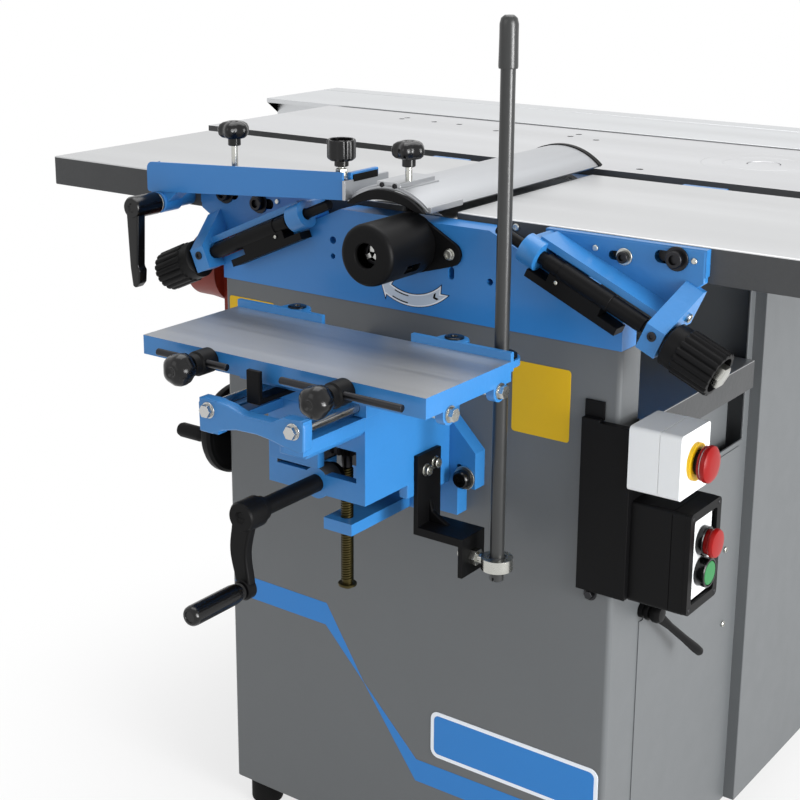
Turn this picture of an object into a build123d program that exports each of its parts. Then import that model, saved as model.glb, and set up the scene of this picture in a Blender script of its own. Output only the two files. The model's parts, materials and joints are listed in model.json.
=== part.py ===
from build123d import *

import os
from math import cos, pi, radians, sin, sqrt, tan

# Combination woodworking machine: planer and thicknesser with a slot mortiser on its front,
# and a saw and spindle moulder behind. Millimetres.
# The pieces are laid out with X = 0 on the cutterblock axis, Y = 0 on the front of the
# cabinet and Z = 0 on the floor: +X to the operator's right, +Y into the machine, +Z up.
# At the end every piece moves by one step, so that the origin lies on the floor under the
# middle of the whole machine.

# Fits
FIT = 0.06          # radial clearance of a shaft or rod in its bore
SLIDE = 0.3         # clearance between flat faces that slide past each other

# Cabinets, folded from sheet
SHEET = 3.0
FOOT_H = 40.0
FOOT_R = 22.0
FOOT_INSET = 30.0
CAB_LEFT = -295.0
CAB_RIGHT = 275.0
CAB_H = 717.0
CAB_EDGE_R = 6.0
SILL_RISE = 522.0       # from the cabinet's bottom to the sill of the thicknesser opening
STRIP_FRONT = 44.0      # strip of side wall left in front of the opening
STRIP_REAR = 15.0
SAW_CAB_RIGHT = 290.0
SAW_DEPTH = 405.0
LEDGE = 42.0            # step at the front of the saw cabinet's top

# Planer tables
PLANER_W = 320.0
TABLE_FRONT = 33.0
TABLE_RISE = 119.0      # from the top of the cabinet to the top of the tables
TABLE_T = 40.0
TABLE_END = 645.0       # outer end of each table from the cutter axis
LIP = 38.0              # inner lip of each table from the cutter axis
LIP_T = 8.0
LIP_RUN = 22.0
TABLE_RIM = 14.0        # wall of the casting under the table
TABLE_SKIN = 14.0
REAR_GAP = 2.0

# Housing that carries the cutterblock and the tables
HOUSING_FRONT = -2.0
PLATE_T = 33.0
REAR_PLATE_T = 30.0
CREST_HALF = 105.0      # half length of the housing's level top
CREST_DROP = 8.0        # from the top of the tables to that level top
INCLINE = 24.0          # degrees, slope of the ways on which the tables ride
BEAM_X = 160.0
BEAM_W = 40.0
BEAM_H = 23.0
BEAM_DROP = 73.0

# Cutterblock and mortise chuck
CUTTER_R = 35.0
CUTTER_BODY_R = 33.0
JOURNAL_R = 15.0
KNIFE_T = 3.0
KNIFE_H = 14.0
KNIVES = 3
CHUCK_R = 22.0
CHUCK_LEN = 76.0
CHUCK_NOSE_R = 12.0
CHUCK_NOSE_LEN = 14.0
CHUCK_BORE_R = 8.0
CHUCK_BORE_LEN = 50.0
COVER_R = 36.0
COVER_WALL = 6.0
COVER_LEN = 91.0
COVER_EDGE_R = 7.0
COVER_HOLE_R = 14.5
COVER_BASE_T = 5.0
COVER_LUG_X = 53.0
COVER_LUG_R = 12.0
COVER_SLOT_LEN = 26.0
COVER_SLOT_W = 9.0

# Table brackets and their adjusting screws, on the incline
FLANGE_T = 10.0
FLANGE_IN = 163.0
FLANGE_OUT = 355.0
FLANGE_TOP_DROP = 2.0
FLANGE_H = 47.0
FLANGE_CUT = 18.0
WEB_T = 8.0             # sloped web from the flange forward over the screw
WEB_GAP = 2.0
WEB_FRONT = -12.0
SHOE_T = 14.0           # rear shoe that rides on the slope of the housing's rear plate
SHOE_LEN = 120.0
SCREW_X = 240.0         # middle of the adjusting screw
SCREW_Y = -15.0
SCREW_ABOVE = 14.7      # square to the slope, from the housing's edge to the screw's axis
SCREW_R = 7.5
INFEED_IN = 14.0        # infeed's screw is this much nearer the cutter than the outfeed's
SCREW_IN = -86.0        # along the screw from its middle, down and outwards
BOSS_R = 17.0
BOSS_IN = -87.0
BOSS_LEN = 22.0
STRUT_S = 80.0
STRUT_T = 23.0
STRUT_LOW = 18.0
STRUT_UP = 52.0
STRUT_FRONT = 17.0
STRUT_LEAN = 12.0       # above this height the strut's front leans back
STRUT_TOP_FRONT = 36.0
KNOB_S = 106.0
KNOB_R = 26.0
KNOB_LEN = 62.0
KNOB_FLUTES = 12
KNOB_FLUTE_R = 4.0
KNOB_HEX = 19.0
KNOB_SOCKET = 9.0
KNOB_COLLAR_R = 17.0
GUIDE_IN = -72.0
GUIDE_OUT = 50.0
GUIDE_LOW = 27.0
GUIDE_HIGH = 7.0
GUIDE_FRONT = -22.0
GUIDE_NOTCH_H = 11.0
GUIDE_NOTCH_LEN = 26.0
TUBE_IN = -56.5
TUBE_OUT = 74.0
TUBE_R = 9.5

# Bridge guard over the cutterblock
PIVOT_X = -385.0
PIVOT_DROP = 28.0
PIVOT_R = 11.0
PIVOT_LEN = 62.0
PIVOT_EYE_R = 18.0
ARM_Y0 = -26.0
ARM_Y1 = 6.0
ARM_H = 38.0
ARM_WALL = 4.0
ARM_LEFT = -403.0
ARM_RIGHT = -86.0
ARM_LEFT_UNDER = 15.0   # underside of the arm's left end below the tables' top
ARM_TILT = 3.5          # degrees
CLAMP_HUB_R = 10.0
CLAMP_HUB_LEN = 40.0
CLAMP_GAP = 0.6
CLAMP_STUD_R = 5.0
CLAMP_STUD_LEN = 24.0
CLAMP_ARM_LEN = 103.0
CLAMP_ARM_T = 14.0
STAR_R = 18.5
STAR_H = 19.0
STAR_LOBES = 5
STAR_STUD_R = 4.0
ARM_STAR_X = -265.0
ARM_STAR_RISE = 65.0    # underside of the star knob above the tables' top
CUP_X = -97.0
CUP_R = 17.3
CUP_H = 28.0
CUP_GAP = 16.0
BEAM_LEFT = -82.0
BEAM_RIGHT = 30.0
BEAM_FRONT = -22.0
BEAM_LEN = 417.0
BEAM_CLEAR = 4.5        # underside of the beam above the tables
BEAM_ARCH = 22.0
BEAM_WALL = 3.0
RIDGE_W = 18.0
RIDGE_H = 5.0
CAP_T = 6.0
CAP_BAND = 12.0
CLIP_T = 4.0
CLIP_W = 30.0
CLIP_END = 22.0
BEAM_STAR_X = -12.5
BEAM_STAR_Y = 8.0
BEAM_STAR_GAP = 24.0

# Thicknesser
BED_LEFT = -300.0
BED_OUT = 11.0           # right end of the bed past the cabinet wall
BED_Y0 = 46.0
BED_Y1 = 338.0
BED_T = 36.0
BED_DROP = 207.0        # bed's face below the tables' top, at rest
BED_RIM = 12.0
COLUMN_R = 40.0
COLUMN_LEN = 233.0
SLEEVE_WALL = 15.0
SLEEVE_LEN = 120.0
SHELF_DROP = 92.0       # shelf below the sill
SHELF_T = 4.0
HOOD_IN = -60.0
HOOD_OUT = -352.0
HOOD_Y0 = 60.0
HOOD_Y1 = 330.0
HOOD_FOOT = 3.0
HOOD_H = 126.0
HOOD_WALL = 3.0
SPOUT_Y = 88.0
SPOUT_RISE = 77.0       # spout's axis above the bed
SPOUT_R = 44.0
SPOUT_LEN = 24.0
CONE_LEN = 30.0
WHEEL_Y = 45.0
WHEEL_BELOW = 27.0      # handwheel's axis below the sill
WHEEL_R = 61.5
WHEEL_RIM = 8.0
WHEEL_OFF = 22.0        # from the cabinet wall to the rim's inner face
WHEEL_T = 16.0
WHEEL_HUB_R = 16.0
WHEEL_SHAFT_R = 10.0
WHEEL_SHAFT_LEN = 60.0
WHEEL_GRIP_R = 10.0
WHEEL_GRIP_LEN = 45.0
WHEEL_GRIP_AT = 50.0
BUSH_R = 17.0
BUSH_LEN = 30.0
LOCK_Y = 75.0
LOCK_BELOW = 134.0      # lock lever's axis below the sill
LOCK_HUB_R = 14.0
LOCK_HUB_LEN = 20.0
LOCK_STUD_R = 6.0
LOCK_STUD_LEN = 40.0
LOCK_ARM_Y = 95.0
LOCK_ARM_Z = 83.0
LOCK_ARM_R = 7.0

# Mortiser: slideway on the cabinet, knee that rises on it, cross carriage and table
MORT_DROP = 88.0        # table's face below the chuck's axis
WAY_T = 20.0
WAY_HALF = 80.0
WAY_WING = 104.0
WAY_TOP = 33.0          # below the mortise table's face
WAY_BOTTOM = 225.0
WING_LOW = 188.0
WING_HIGH = 144.0
RAIL_HALF = 40.0
RAIL_T = 12.0
NUT_ARM_HALF = 20.0
NUT_ARM_H = 14.0
NUT_ARM_OUT = 145.0
KNEE_HALF = 68.0
KNEE_WALL = 12.0
KNEE_FRONT = -183.0
KNEE_TOP = 63.0         # knee's heights are all below the table's face
KNEE_BOTTOM = 165.0
KNEE_MOUTH_TOP = 105.0
KNEE_TOP_T = 20.0
KNEE_BAR_H = 24.0
KNEE_BACK_T = 26.0
KNEE_BACK_LOW = 185.0
KNEE_EAR_TOP = 39.0
KNEE_EAR_HALF = 13.0
HORN_T = 11.0
HORN_W = 22.0
YOKE_FRONT = -291.0
YOKE_T = 14.0
YOKE_MID_TOP = 47.0
YOKE_MID_LOW = 62.0
YOKE_EAR_LOW = 76.0
YROD_X = 58.0
YROD_DROP = 51.0
ROD_R = 8.0
XROD_DROP = 27.0
XROD_FRONT = -208.0
XROD_REAR = -114.0
BOLT_AF = 13.0
BOLT_H = 6.0
WASHER_R = 9.0
WASHER_T = 1.6
CARR_HALF = 75.0
CARR_FRONT = -190.0
CARR_UP_FRONT = -222.0
CARR_REAR = -100.0
CARR_LOW = 61.0
CARR_MID = 36.0
CARR_TOP = 15.0
MORT_HALF = 193.0
MORT_FRONT = -250.0
MORT_REAR = -92.0
MORT_T = 12.0
SKIRT = 10.0
SKIRT_DROP = 22.0
XBOSS_R = 12.0
LIP_IN = 63.0
LIP_OUT = 192.0
LIP_TH = 6.0
LIP_RISE = 9.0
LUG_HALF = 20.0
RING_BORE_R = 13.0
RING_T = 8.0
LEVER_X = 167.0
LEVER_Y = -70.0
LEVER_R = 8.0
BALL_DROP = 244.0
LEVER_TAIL = 21.0
LEVER_ROD_LEN = 547.0
GRIP_R = 10.0
GRIP_LEN = 55.0
BALL_R = 11.0
RACE_T = 2.0
RACE_H = 12.0
ROD_END_R = 18.0
ROD_END_H = 14.0
ROD_END_SHANK_R = 6.0
ROD_END_NUT_AF = 17.0
ROD_END_NUT_T = 8.0
LB_Y0 = -92.0
LB_Y1 = -46.0
LB_T = 6.0
LB_TOP = 133.0
LB_LOW = 228.0
LB_ARM_OUT = 135.0
LB_ARM_T = 10.0
LB_DROP = 265.0
STOP_X = 93.0
STOP_DROP = 11.0
HUB_R = 11.0
HUB_LEN = 32.0
STOP_ROD_R = 4.0
STOP_ROD_OUT = 17.0     # stop rod's axis in front of the table's front edge
STOP_ROD_LIFT = 2.0
LEFT_ROD = (-154.0, -52.0)
RIGHT_ROD = (22.0, 177.0)
STOP_KNOB_R = 16.5
STOP_KNOB_LEN = 26.0
STOP_KNOB_GAP = 2.0
STOP_KNOB_LOBES = 5
STOP_STUD_R = 4.0
TAB_X0 = -24.0
TAB_X1 = -6.0
TAB_T = 6.0
TAB_OUT = 19.0          # front face of the upright in front of the table's edge
TAB_TOP = 5.0
CRANK_DROP = 153.0
CRANK_SHAFT_R = 10.0
CRANK_BEARING_R = 18.0
CRANK_BEARING_LEN = 24.0
CRANK_SHAFT_IN = 34.0   # shaft's length behind the knee's front
CRANK_PINION_R = 15.0
CRANK_PINION_T = 8.0
CRANK_HUB_Y = -275.0
CRANK_HUB_R = 17.0
CRANK_HUB_LEN = 35.0
CRANK_THROW = 82.0
CRANK_EYE_R = 12.0
CRANK_ARM_T = 13.0
CRANK_PIN_R = 5.0
CRANK_GRIP_R = 11.0
CRANK_GRIP_LEN = 76.0
CRANK_GRIP_GAP = 4.0
LIFT_Y = -127.0
LIFT_R = 7.5
LIFT_LOW = 299.0
LIFT_CLIP_R = 11.0
LIFT_CLIP_T = 3.0
LIFT_GEAR_R = 20.0
LIFT_GEAR_T = 9.0
LIFT_GEAR_RISE = 22.0
LOCK_KNOB_X = 90.0
LOCK_KNOB_DROP = 176.0
LOCK_KNOB_R = 11.0
LOCK_KNOB_T = 12.0
LOCK_SCREW_R = 4.0

# Switch gear
CB_X0 = 234.0
CB_OUT = 20.0
CB_T = 10.0
CB_Z0 = 475.0
CB_Z1 = 678.0
CB_LIP = 22.0
CB_LIP_H = 20.0
ES_X1 = 356.0
ES_Y0 = -15.0
ES_Y1 = 56.0
ES_Z0 = 608.0
ES_Z1 = 681.0
BOX_EDGE_R = 5.0
ES_COLLAR_R = 21.0
ES_COLLAR_T = 4.0
ES_STEM_R = 9.0
ES_STEM_LEN = 14.0
ES_HEAD_R = 20.0
ES_HEAD_T = 13.0
ES_TRAVEL = 5.0
SW_X1 = 360.0
SW_Y0 = -2.0
SW_Y1 = 75.0
SW_Z0 = 473.0
SW_Z1 = 591.0
SW_PLATE_T = 2.0
SW_PLATE_W = 46.0
SW_PLATE_H = 92.0
SW_BUTTON_R = 16.0
SW_BUTTON_OUT = 12.0
SW_BUTTON_DEEP = 12.0
SW_BUTTON_HALF_STEP = 18.0

# Saw, spindle moulder and sliding table
SAW_TABLE_LEFT = -685.0
SAW_TABLE_RIGHT = 600.0
SAW_TABLE_W = 314.0
SAW_TABLE_T = 35.0
SAW_TABLE_SKIN = 12.0
SAW_TABLE_RIM = 12.0
SLOT_W = 17.0
BLADE_R = 125.0
BLADE_T = 3.0
BLADE_X = -125.0
BLADE_BELOW = 5.0       # blade's top below the tables, at rest
BLADE_TEETH = 24
TOOTH_H = 7.0
ARBOR_R = 12.0
ARBOR_LEN = 110.0
ARBOR_HOUSING_R = 22.0
ARBOR_FLANGE_R = 25.0
ARBOR_FLANGE_T = 6.0
SAW_BLOCK_WALL = 12.0
SAW_BLOCK_T = 60.0
SAW_BLOCK_H = 200.0
SAW_MOTOR_R = 62.0
SAW_MOTOR_LEN = 190.0
SAW_MOTOR_DROP = 150.0
POST_R = 14.0
POST_HALF = 70.0
POST_LEN = 640.0
SPINDLE_X = 185.0
SPINDLE_IN = 173.0      # from the saw table's front edge
SPINDLE_R = 15.0
SPINDLE_TOP = 6.0       # below the tables, at rest
SPINDLE_LEN = 330.0
QUILL_R = 40.0
QUILL_LEN = 200.0
QUILL_BELOW = 130.0
SPINDLE_MOTOR_R = 50.0
RING_OUT_R = 85.0
RING_IN_R = 55.0
RING_STEP = 8.0
RING_TH = 10.0
RING_SEAT_WALL = 12.0
SLIDER_LEFT = -845.0
SLIDER_RIGHT = 445.0
SLIDER_W = 210.0
SLIDER_T = 8.0
SLIDER_BEAM_H = 26.0
SLIDER_BEAM_IN = 30.0
SLIDER_BEAM_W = 150.0
SLIDER_WALL = 4.0
RAIL_LEFT = -650.0
RAIL_RIGHT = 450.0
RAIL_W = 80.0
RAIL_H = 60.0
RAIL_WALL = 5.0
SAW_SIDE_HOLE_R = 5.0
SAW_SIDE_HOLES = ((-481.0, 250.0), (-481.0, 266.0), (-417.0, 252.0), (-368.0, 252.0),
                  (-281.0, 225.0), (-157.0, 242.0), (-157.0, 268.0), (-107.0, 232.0),
                  (69.0, 32.0))

# Motor of the planer
MOTOR_R = 75.0
MOTOR_LEN = 230.0
MOTOR_X = -150.0
MOTOR_RISE = 110.0
MOTOR_FOOT_HALF = 60.0
MOTOR_FOOT_T = 12.0


# Heights and depths that follow from the sizes above
CAB_TOP = FOOT_H + CAB_H
SILL = FOOT_H + SILL_RISE
TABLE_TOP = CAB_TOP + TABLE_RISE
TABLE_LOW = TABLE_TOP - TABLE_T
TABLE_REAR = TABLE_FRONT + PLANER_W
CAB_REAR = TABLE_REAR + REAR_GAP
SAW_REAR = CAB_REAR + SAW_DEPTH
SAW_FRONT = CAB_REAR + LEDGE
SAW_EDGE = SAW_FRONT + SAW_TABLE_W
SAW_LOW = TABLE_TOP - SAW_TABLE_T
SLIDER_FRONT = SAW_EDGE + SLOT_W
PLATE_BACK = HOUSING_FRONT + PLATE_T
REAR_PLATE_Y = CAB_REAR + 1.0
CUTTER_Z = TABLE_TOP - CUTTER_R
CREST = TABLE_TOP - CREST_DROP
SLOPE = tan(radians(INCLINE))
BEAM_Z0 = TABLE_TOP - BEAM_DROP
SCREW_LINE_X = SCREW_X - SCREW_ABOVE * sin(radians(INCLINE))
SCREW_LINE_Z = CREST - (SCREW_LINE_X - CREST_HALF) * SLOPE
SCREW_Z = SCREW_LINE_Z + SCREW_ABOVE * cos(radians(INCLINE))
BED_TOP = TABLE_TOP - BED_DROP
BED_LOW = BED_TOP - BED_T
BED_Y = (BED_Y0 + BED_Y1) / 2
SHELF_Z = SILL - SHELF_DROP
WHEEL_Z = SILL - WHEEL_BELOW
LOCK_Z = SILL - LOCK_BELOW
HOOD_Z0 = BED_TOP + HOOD_FOOT
SPOUT_Z = BED_TOP + SPOUT_RISE
SPOUT_END = HOOD_OUT - CONE_LEN - SPOUT_LEN
MORT_TOP = CUTTER_Z - MORT_DROP
YROD_Z = MORT_TOP - YROD_DROP
XROD_Z = MORT_TOP - XROD_DROP
CRANK_Z = MORT_TOP - CRANK_DROP
BALL_Z = MORT_TOP - BALL_DROP
STOP_Z = MORT_TOP - STOP_DROP
STOP_ROD_Y = MORT_FRONT - STOP_ROD_OUT
STOP_ROD_Z = STOP_Z + STOP_ROD_LIFT
KNEE_REAR = -WAY_T - SLIDE
PIVOT_Z = TABLE_TOP - PIVOT_DROP
BEAM_Z = TABLE_TOP + BEAM_CLEAR
BEAM_APEX = BEAM_Z + BEAM_ARCH
CLIP_Z = BEAM_APEX + RIDGE_H + 2 * SLIDE
ARM_MID_Y = (ARM_Y0 + ARM_Y1) / 2
ES_Y = (ES_Y0 + ES_Y1) / 2
ES_Z = (ES_Z0 + ES_Z1) / 2
SW_Y = (SW_Y0 + SW_Y1) / 2
SW_Z = (SW_Z0 + SW_Z1) / 2
STOP_BUTTON_Z = SW_Z + SW_BUTTON_HALF_STEP
START_BUTTON_Z = SW_Z - SW_BUTTON_HALF_STEP
BLADE_Y = SAW_EDGE + SLOT_W / 2
BLADE_Z = TABLE_TOP - BLADE_BELOW - BLADE_R
SPINDLE_Y = SAW_FRONT + SPINDLE_IN
SPINDLE_Z = TABLE_TOP - SPINDLE_TOP
SAW_POST_Y = BLADE_Y - ARBOR_LEN
SPINDLE_POST_Y = SPINDLE_Y
BOX_X0 = CAB_RIGHT + CB_OUT


def block(x0, x1, y0, y1, z0, z1):
    """Block between two opposite corners."""
    middle = Pos((x0 + x1) / 2, (y0 + y1) / 2, (z0 + z1) / 2)
    return middle * Box(abs(x1 - x0), abs(y1 - y0), abs(z1 - z0))


def rod_x(radius, x0, x1, y, z):
    """Round bar along X."""
    return Pos((x0 + x1) / 2, y, z) * Rot(0, 90, 0) * Cylinder(radius, abs(x1 - x0))


def rod_y(radius, y0, y1, x, z):
    """Round bar along Y."""
    return Pos(x, (y0 + y1) / 2, z) * Rot(90, 0, 0) * Cylinder(radius, abs(y1 - y0))


def rod_z(radius, z0, z1, x, y):
    """Round bar along Z."""
    return Pos(x, y, (z0 + z1) / 2) * Cylinder(radius, abs(z1 - z0))


def plate_xz(points, y0, y1):
    """Plate with an outline in X and Z, between two values of Y."""
    face = Plane((0, y1, 0), x_dir=(1, 0, 0), z_dir=(0, -1, 0)) * Polygon(*points, align=None)
    return extrude(face, y1 - y0)


def plate_yz(points, x0, x1):
    """Plate with an outline in Y and Z, between two values of X."""
    face = Plane((x0, 0, 0), x_dir=(0, 1, 0), z_dir=(1, 0, 0)) * Polygon(*points, align=None)
    return extrude(face, x1 - x0)


def hexagon(across_flats):
    """Hexagon of a bolt head or nut."""
    return RegularPolygon(across_flats / sqrt(3), 6)


def lobed(radius, height, lobes):
    """Upright hand knob with round lobes, standing on Z = 0."""
    lobe = radius * pi / (lobes + pi)
    outline = Circle(radius - lobe)
    for place in PolarLocations(radius - lobe, lobes):
        outline += place * Circle(lobe)
    return extrude(outline, height)


def mirror_x(shape):
    """The same piece on the other side of the cutter axis."""
    return mirror(shape, about=Plane.YZ)


def on_slope(shape, inward):
    """Places a piece drawn along the right adjusting screw: X down it, Z square to the slope."""
    return Pos(SCREW_X - inward, SCREW_Y, SCREW_Z) * Rot(0, INCLINE, 0) * shape


def planer_cabinet():
    """Sheet cabinet with the thicknesser openings, its shelf and the bed's sleeve."""
    shell = block(CAB_LEFT, CAB_RIGHT, 0, CAB_REAR, FOOT_H, CAB_TOP)
    shell = fillet(shell.edges().filter_by(Axis.Z).group_by(Axis.Y)[0], CAB_EDGE_R)
    shell -= block(CAB_LEFT + SHEET, CAB_RIGHT - SHEET, SHEET, CAB_REAR - SHEET,
                   FOOT_H + SHEET, CAB_TOP + SHEET)
    shell -= block(CAB_LEFT - SHEET, CAB_RIGHT + SHEET, STRIP_FRONT, CAB_REAR - STRIP_REAR,
                   SILL, CAB_TOP + SHEET)
    shelf = block(CAB_LEFT + SHEET, CAB_RIGHT - SHEET, SHEET, CAB_REAR - SHEET,
                  SHELF_Z - SHELF_T, SHELF_Z)
    sleeve = rod_z(COLUMN_R + SLEEVE_WALL, SHELF_Z + SLEEVE_LEN / 2 - SLEEVE_LEN,
                   SHELF_Z + SLEEVE_LEN / 2, 0, BED_Y)
    shell += shelf + sleeve
    shell -= rod_z(COLUMN_R + FIT, SHELF_Z - SLEEVE_LEN, SHELF_Z + SLEEVE_LEN, 0, BED_Y)
    bush = rod_x(BUSH_R, CAB_LEFT + SHEET / 2, CAB_LEFT + SHEET + BUSH_LEN, WHEEL_Y, WHEEL_Z)
    nut = rod_x(BUSH_R, CAB_RIGHT - SHEET - BUSH_LEN, CAB_RIGHT - SHEET / 2, LOCK_Y, LOCK_Z)
    shell += bush + nut
    shell -= rod_x(WHEEL_SHAFT_R + FIT, CAB_LEFT - SHEET, CAB_LEFT + BUSH_LEN + 2 * SHEET,
                   WHEEL_Y, WHEEL_Z)
    shell -= rod_x(LOCK_STUD_R + FIT, CAB_RIGHT - BUSH_LEN - 2 * SHEET, CAB_RIGHT + SHEET,
                   LOCK_Y, LOCK_Z)
    return shell


def posts(x, y):
    """Pair of upright guide posts on the saw cabinet's floor."""
    low = FOOT_H + SHEET / 2
    pair = [rod_z(POST_R, low, low + POST_LEN, x + side * POST_HALF, y) for side in (-1, 1)]
    return pair[0] + pair[1]


def saw_cabinet():
    """Sheet cabinet behind the planer, with the posts that guide the saw and the spindle."""
    outer = block(CAB_LEFT, SAW_CAB_RIGHT, CAB_REAR, SAW_REAR, FOOT_H, CAB_TOP)
    outer += block(CAB_LEFT, SAW_CAB_RIGHT, SAW_FRONT, SAW_REAR, CAB_TOP - SHEET, SAW_LOW)
    inner = block(CAB_LEFT + SHEET, SAW_CAB_RIGHT - SHEET, CAB_REAR + SHEET, SAW_REAR - SHEET,
                  FOOT_H + SHEET, CAB_TOP - SHEET)
    inner += block(CAB_LEFT + SHEET, SAW_CAB_RIGHT - SHEET, SAW_FRONT + SHEET, SAW_REAR - SHEET,
                   FOOT_H + SHEET, SAW_LOW + SHEET)
    return outer - inner + posts(BLADE_X, SAW_POST_Y) + posts(SPINDLE_X, SPINDLE_POST_Y)


def machine_feet():
    """Round rubber feet under both cabinets."""
    rows = ((CAB_LEFT, CAB_RIGHT, FOOT_INSET), (CAB_LEFT, CAB_RIGHT, CAB_REAR - FOOT_INSET),
            (CAB_LEFT, SAW_CAB_RIGHT, SAW_REAR - FOOT_INSET))
    feet = []
    for left, right, y in rows:
        for x in (left + FOOT_INSET, right - FOOT_INSET):
            foot = rod_z(FOOT_R, 0, FOOT_H, x, y)
            feet.append(fillet(foot.edges().group_by(Axis.Z)[0], FOOT_R / 4))
    return feet


def housing_outline(left, right):
    """Front outline of the housing: level crest and two slopes."""
    low_left = CREST - (-left - CREST_HALF) * SLOPE
    low_right = CREST - (right - CREST_HALF) * SLOPE
    return [(left, CAB_TOP), (right, CAB_TOP), (right, low_right), (CREST_HALF, CREST),
            (-CREST_HALF, CREST), (left, low_left)]


def planer_housing():
    """Casting with a front and a rear plate, two cross beams and the cutter's bearing seats."""
    casting = plate_xz(housing_outline(CAB_LEFT, CAB_RIGHT), HOUSING_FRONT, PLATE_BACK)
    rear_y = REAR_PLATE_Y + REAR_PLATE_T
    casting += plate_xz(housing_outline(CAB_LEFT, CAB_RIGHT), REAR_PLATE_Y, rear_y)
    for side in (-1, 1):
        casting += block(side * BEAM_X, side * (BEAM_X + BEAM_W), PLATE_BACK - SHEET,
                         REAR_PLATE_Y + SHEET, BEAM_Z0, BEAM_Z0 + BEAM_H)
    casting -= rod_y(JOURNAL_R + FIT, HOUSING_FRONT - SHEET, rear_y + SHEET, 0, CUTTER_Z)
    return casting


def guide_blank(inward):
    """Black guide on the right slope: a tube that the adjusting screw runs in, on a notched bar."""
    back = HOUSING_FRONT - SCREW_Y
    bar = block(GUIDE_IN, GUIDE_OUT, GUIDE_FRONT - SCREW_Y, back, -GUIDE_LOW, -GUIDE_HIGH)
    for s0, s1 in ((GUIDE_IN - SLIDE, GUIDE_IN + GUIDE_NOTCH_LEN),
                   (GUIDE_OUT - GUIDE_NOTCH_LEN, GUIDE_OUT + SLIDE)):
        bar -= block(s0, s1, GUIDE_FRONT - SCREW_Y - SLIDE, back + SLIDE,
                     -GUIDE_HIGH - GUIDE_NOTCH_H, 0)
    tube = rod_x(TUBE_R, TUBE_IN, TUBE_OUT, 0, 0)
    tube += bar
    tube -= rod_x(SCREW_R + FIT, GUIDE_IN - SLIDE, TUBE_OUT + SLIDE, 0, 0)
    guide = on_slope(tube, inward)
    return guide - block(CREST_HALF, TABLE_END, HOUSING_FRONT, TABLE_FRONT, CAB_TOP, TABLE_TOP)


def rod_guides():
    """Guides of the infeed's and the outfeed's screws."""
    return [mirror_x(guide_blank(INFEED_IN)), guide_blank(0)]


def table_blank():
    """Right planer table: lip at the cutter, ground top and a pocketed underside."""
    outline = [(LIP, TABLE_TOP), (LIP, TABLE_TOP - LIP_T), (LIP + LIP_RUN, TABLE_LOW),
               (TABLE_END, TABLE_LOW), (TABLE_END, TABLE_TOP)]
    table = plate_xz(outline, TABLE_FRONT, TABLE_REAR)
    first = LIP + LIP_RUN + TABLE_RIM
    pockets = 3
    pitch = (TABLE_END - first) / pockets
    for k in range(pockets):
        x0 = first + k * pitch
        table -= block(x0, x0 + pitch - TABLE_RIM, TABLE_FRONT + TABLE_RIM,
                       TABLE_REAR - TABLE_RIM, TABLE_LOW - SHEET, TABLE_TOP - TABLE_SKIN)
    return table


def bracket_blank(inward):
    """Right table bracket: flange on the table's edge, screw eye, strut and rear shoe."""
    top = TABLE_TOP - FLANGE_TOP_DROP
    low = top - FLANGE_H
    edge = low + FLANGE_CUT
    y0 = TABLE_FRONT - FLANGE_T
    outline = [(FLANGE_IN, edge), (FLANGE_IN + FLANGE_CUT / SLOPE, low),
               (FLANGE_OUT - FLANGE_CUT, low), (FLANGE_OUT, edge), (FLANGE_OUT, top),
               (FLANGE_IN, top)]
    bracket = plate_xz(outline, y0, TABLE_FRONT)
    web_low = TUBE_R + WEB_GAP
    flange_y = TABLE_FRONT - SCREW_Y
    sloped = block(BOSS_IN + BOSS_LEN / 2, STRUT_S + STRUT_T / 2, WEB_FRONT - SCREW_Y,
                   flange_y - FLANGE_T / 2, web_low, web_low + WEB_T)
    eye = rod_x(BOSS_R, BOSS_IN, BOSS_IN + BOSS_LEN, 0, 0)
    strut = block(STRUT_S, STRUT_S + STRUT_T, -STRUT_FRONT, flange_y - FLANGE_T / 2,
                  -STRUT_LOW, STRUT_UP)
    strut -= block(STRUT_S - SLIDE, STRUT_S + STRUT_T + SLIDE, SCREW_R + KNOB_COLLAR_R,
                   flange_y, -STRUT_LOW - SLIDE, web_low)
    lean = [(-STRUT_FRONT - SLIDE, STRUT_LEAN), (STRUT_TOP_FRONT, STRUT_UP + SLIDE),
            (-STRUT_FRONT - SLIDE, STRUT_UP + SLIDE)]
    strut -= plate_yz(lean, STRUT_S - SLIDE, STRUT_S + STRUT_T + SLIDE)
    beside = block(BOSS_IN - SLIDE, STRUT_S + STRUT_T + SLIDE, HOUSING_FRONT - SCREW_Y - SLIDE,
                   flange_y, -STRUT_LOW - SLIDE, 0)
    arms = on_slope(sloped + eye + strut - beside, inward)
    arms -= block(0, TABLE_END, y0 + FLANGE_T / 2, TABLE_REAR, top, TABLE_TOP + TABLE_T)
    bracket += arms
    bore = rod_x(SCREW_R + FIT, BOSS_IN - BOSS_LEN, STRUT_S + 2 * STRUT_T, 0, 0)
    return bracket - on_slope(bore, inward)


def shoe_blank():
    """Rear shoe of the right table, on the slope of the housing's rear plate."""
    lift = SLIDE / cos(radians(INCLINE))
    x0 = FLANGE_IN
    x1 = FLANGE_IN + SHOE_LEN / 2
    z0 = CREST - (x0 - CREST_HALF) * SLOPE + lift
    z1 = CREST - (x1 - CREST_HALF) * SLOPE + lift
    top = TABLE_TOP - FLANGE_TOP_DROP
    outline = [(x0, z0), (x1, z1), (x1, top), (x0, top)]
    return plate_xz(outline, TABLE_REAR, REAR_PLATE_Y + SHOE_T)


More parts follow.
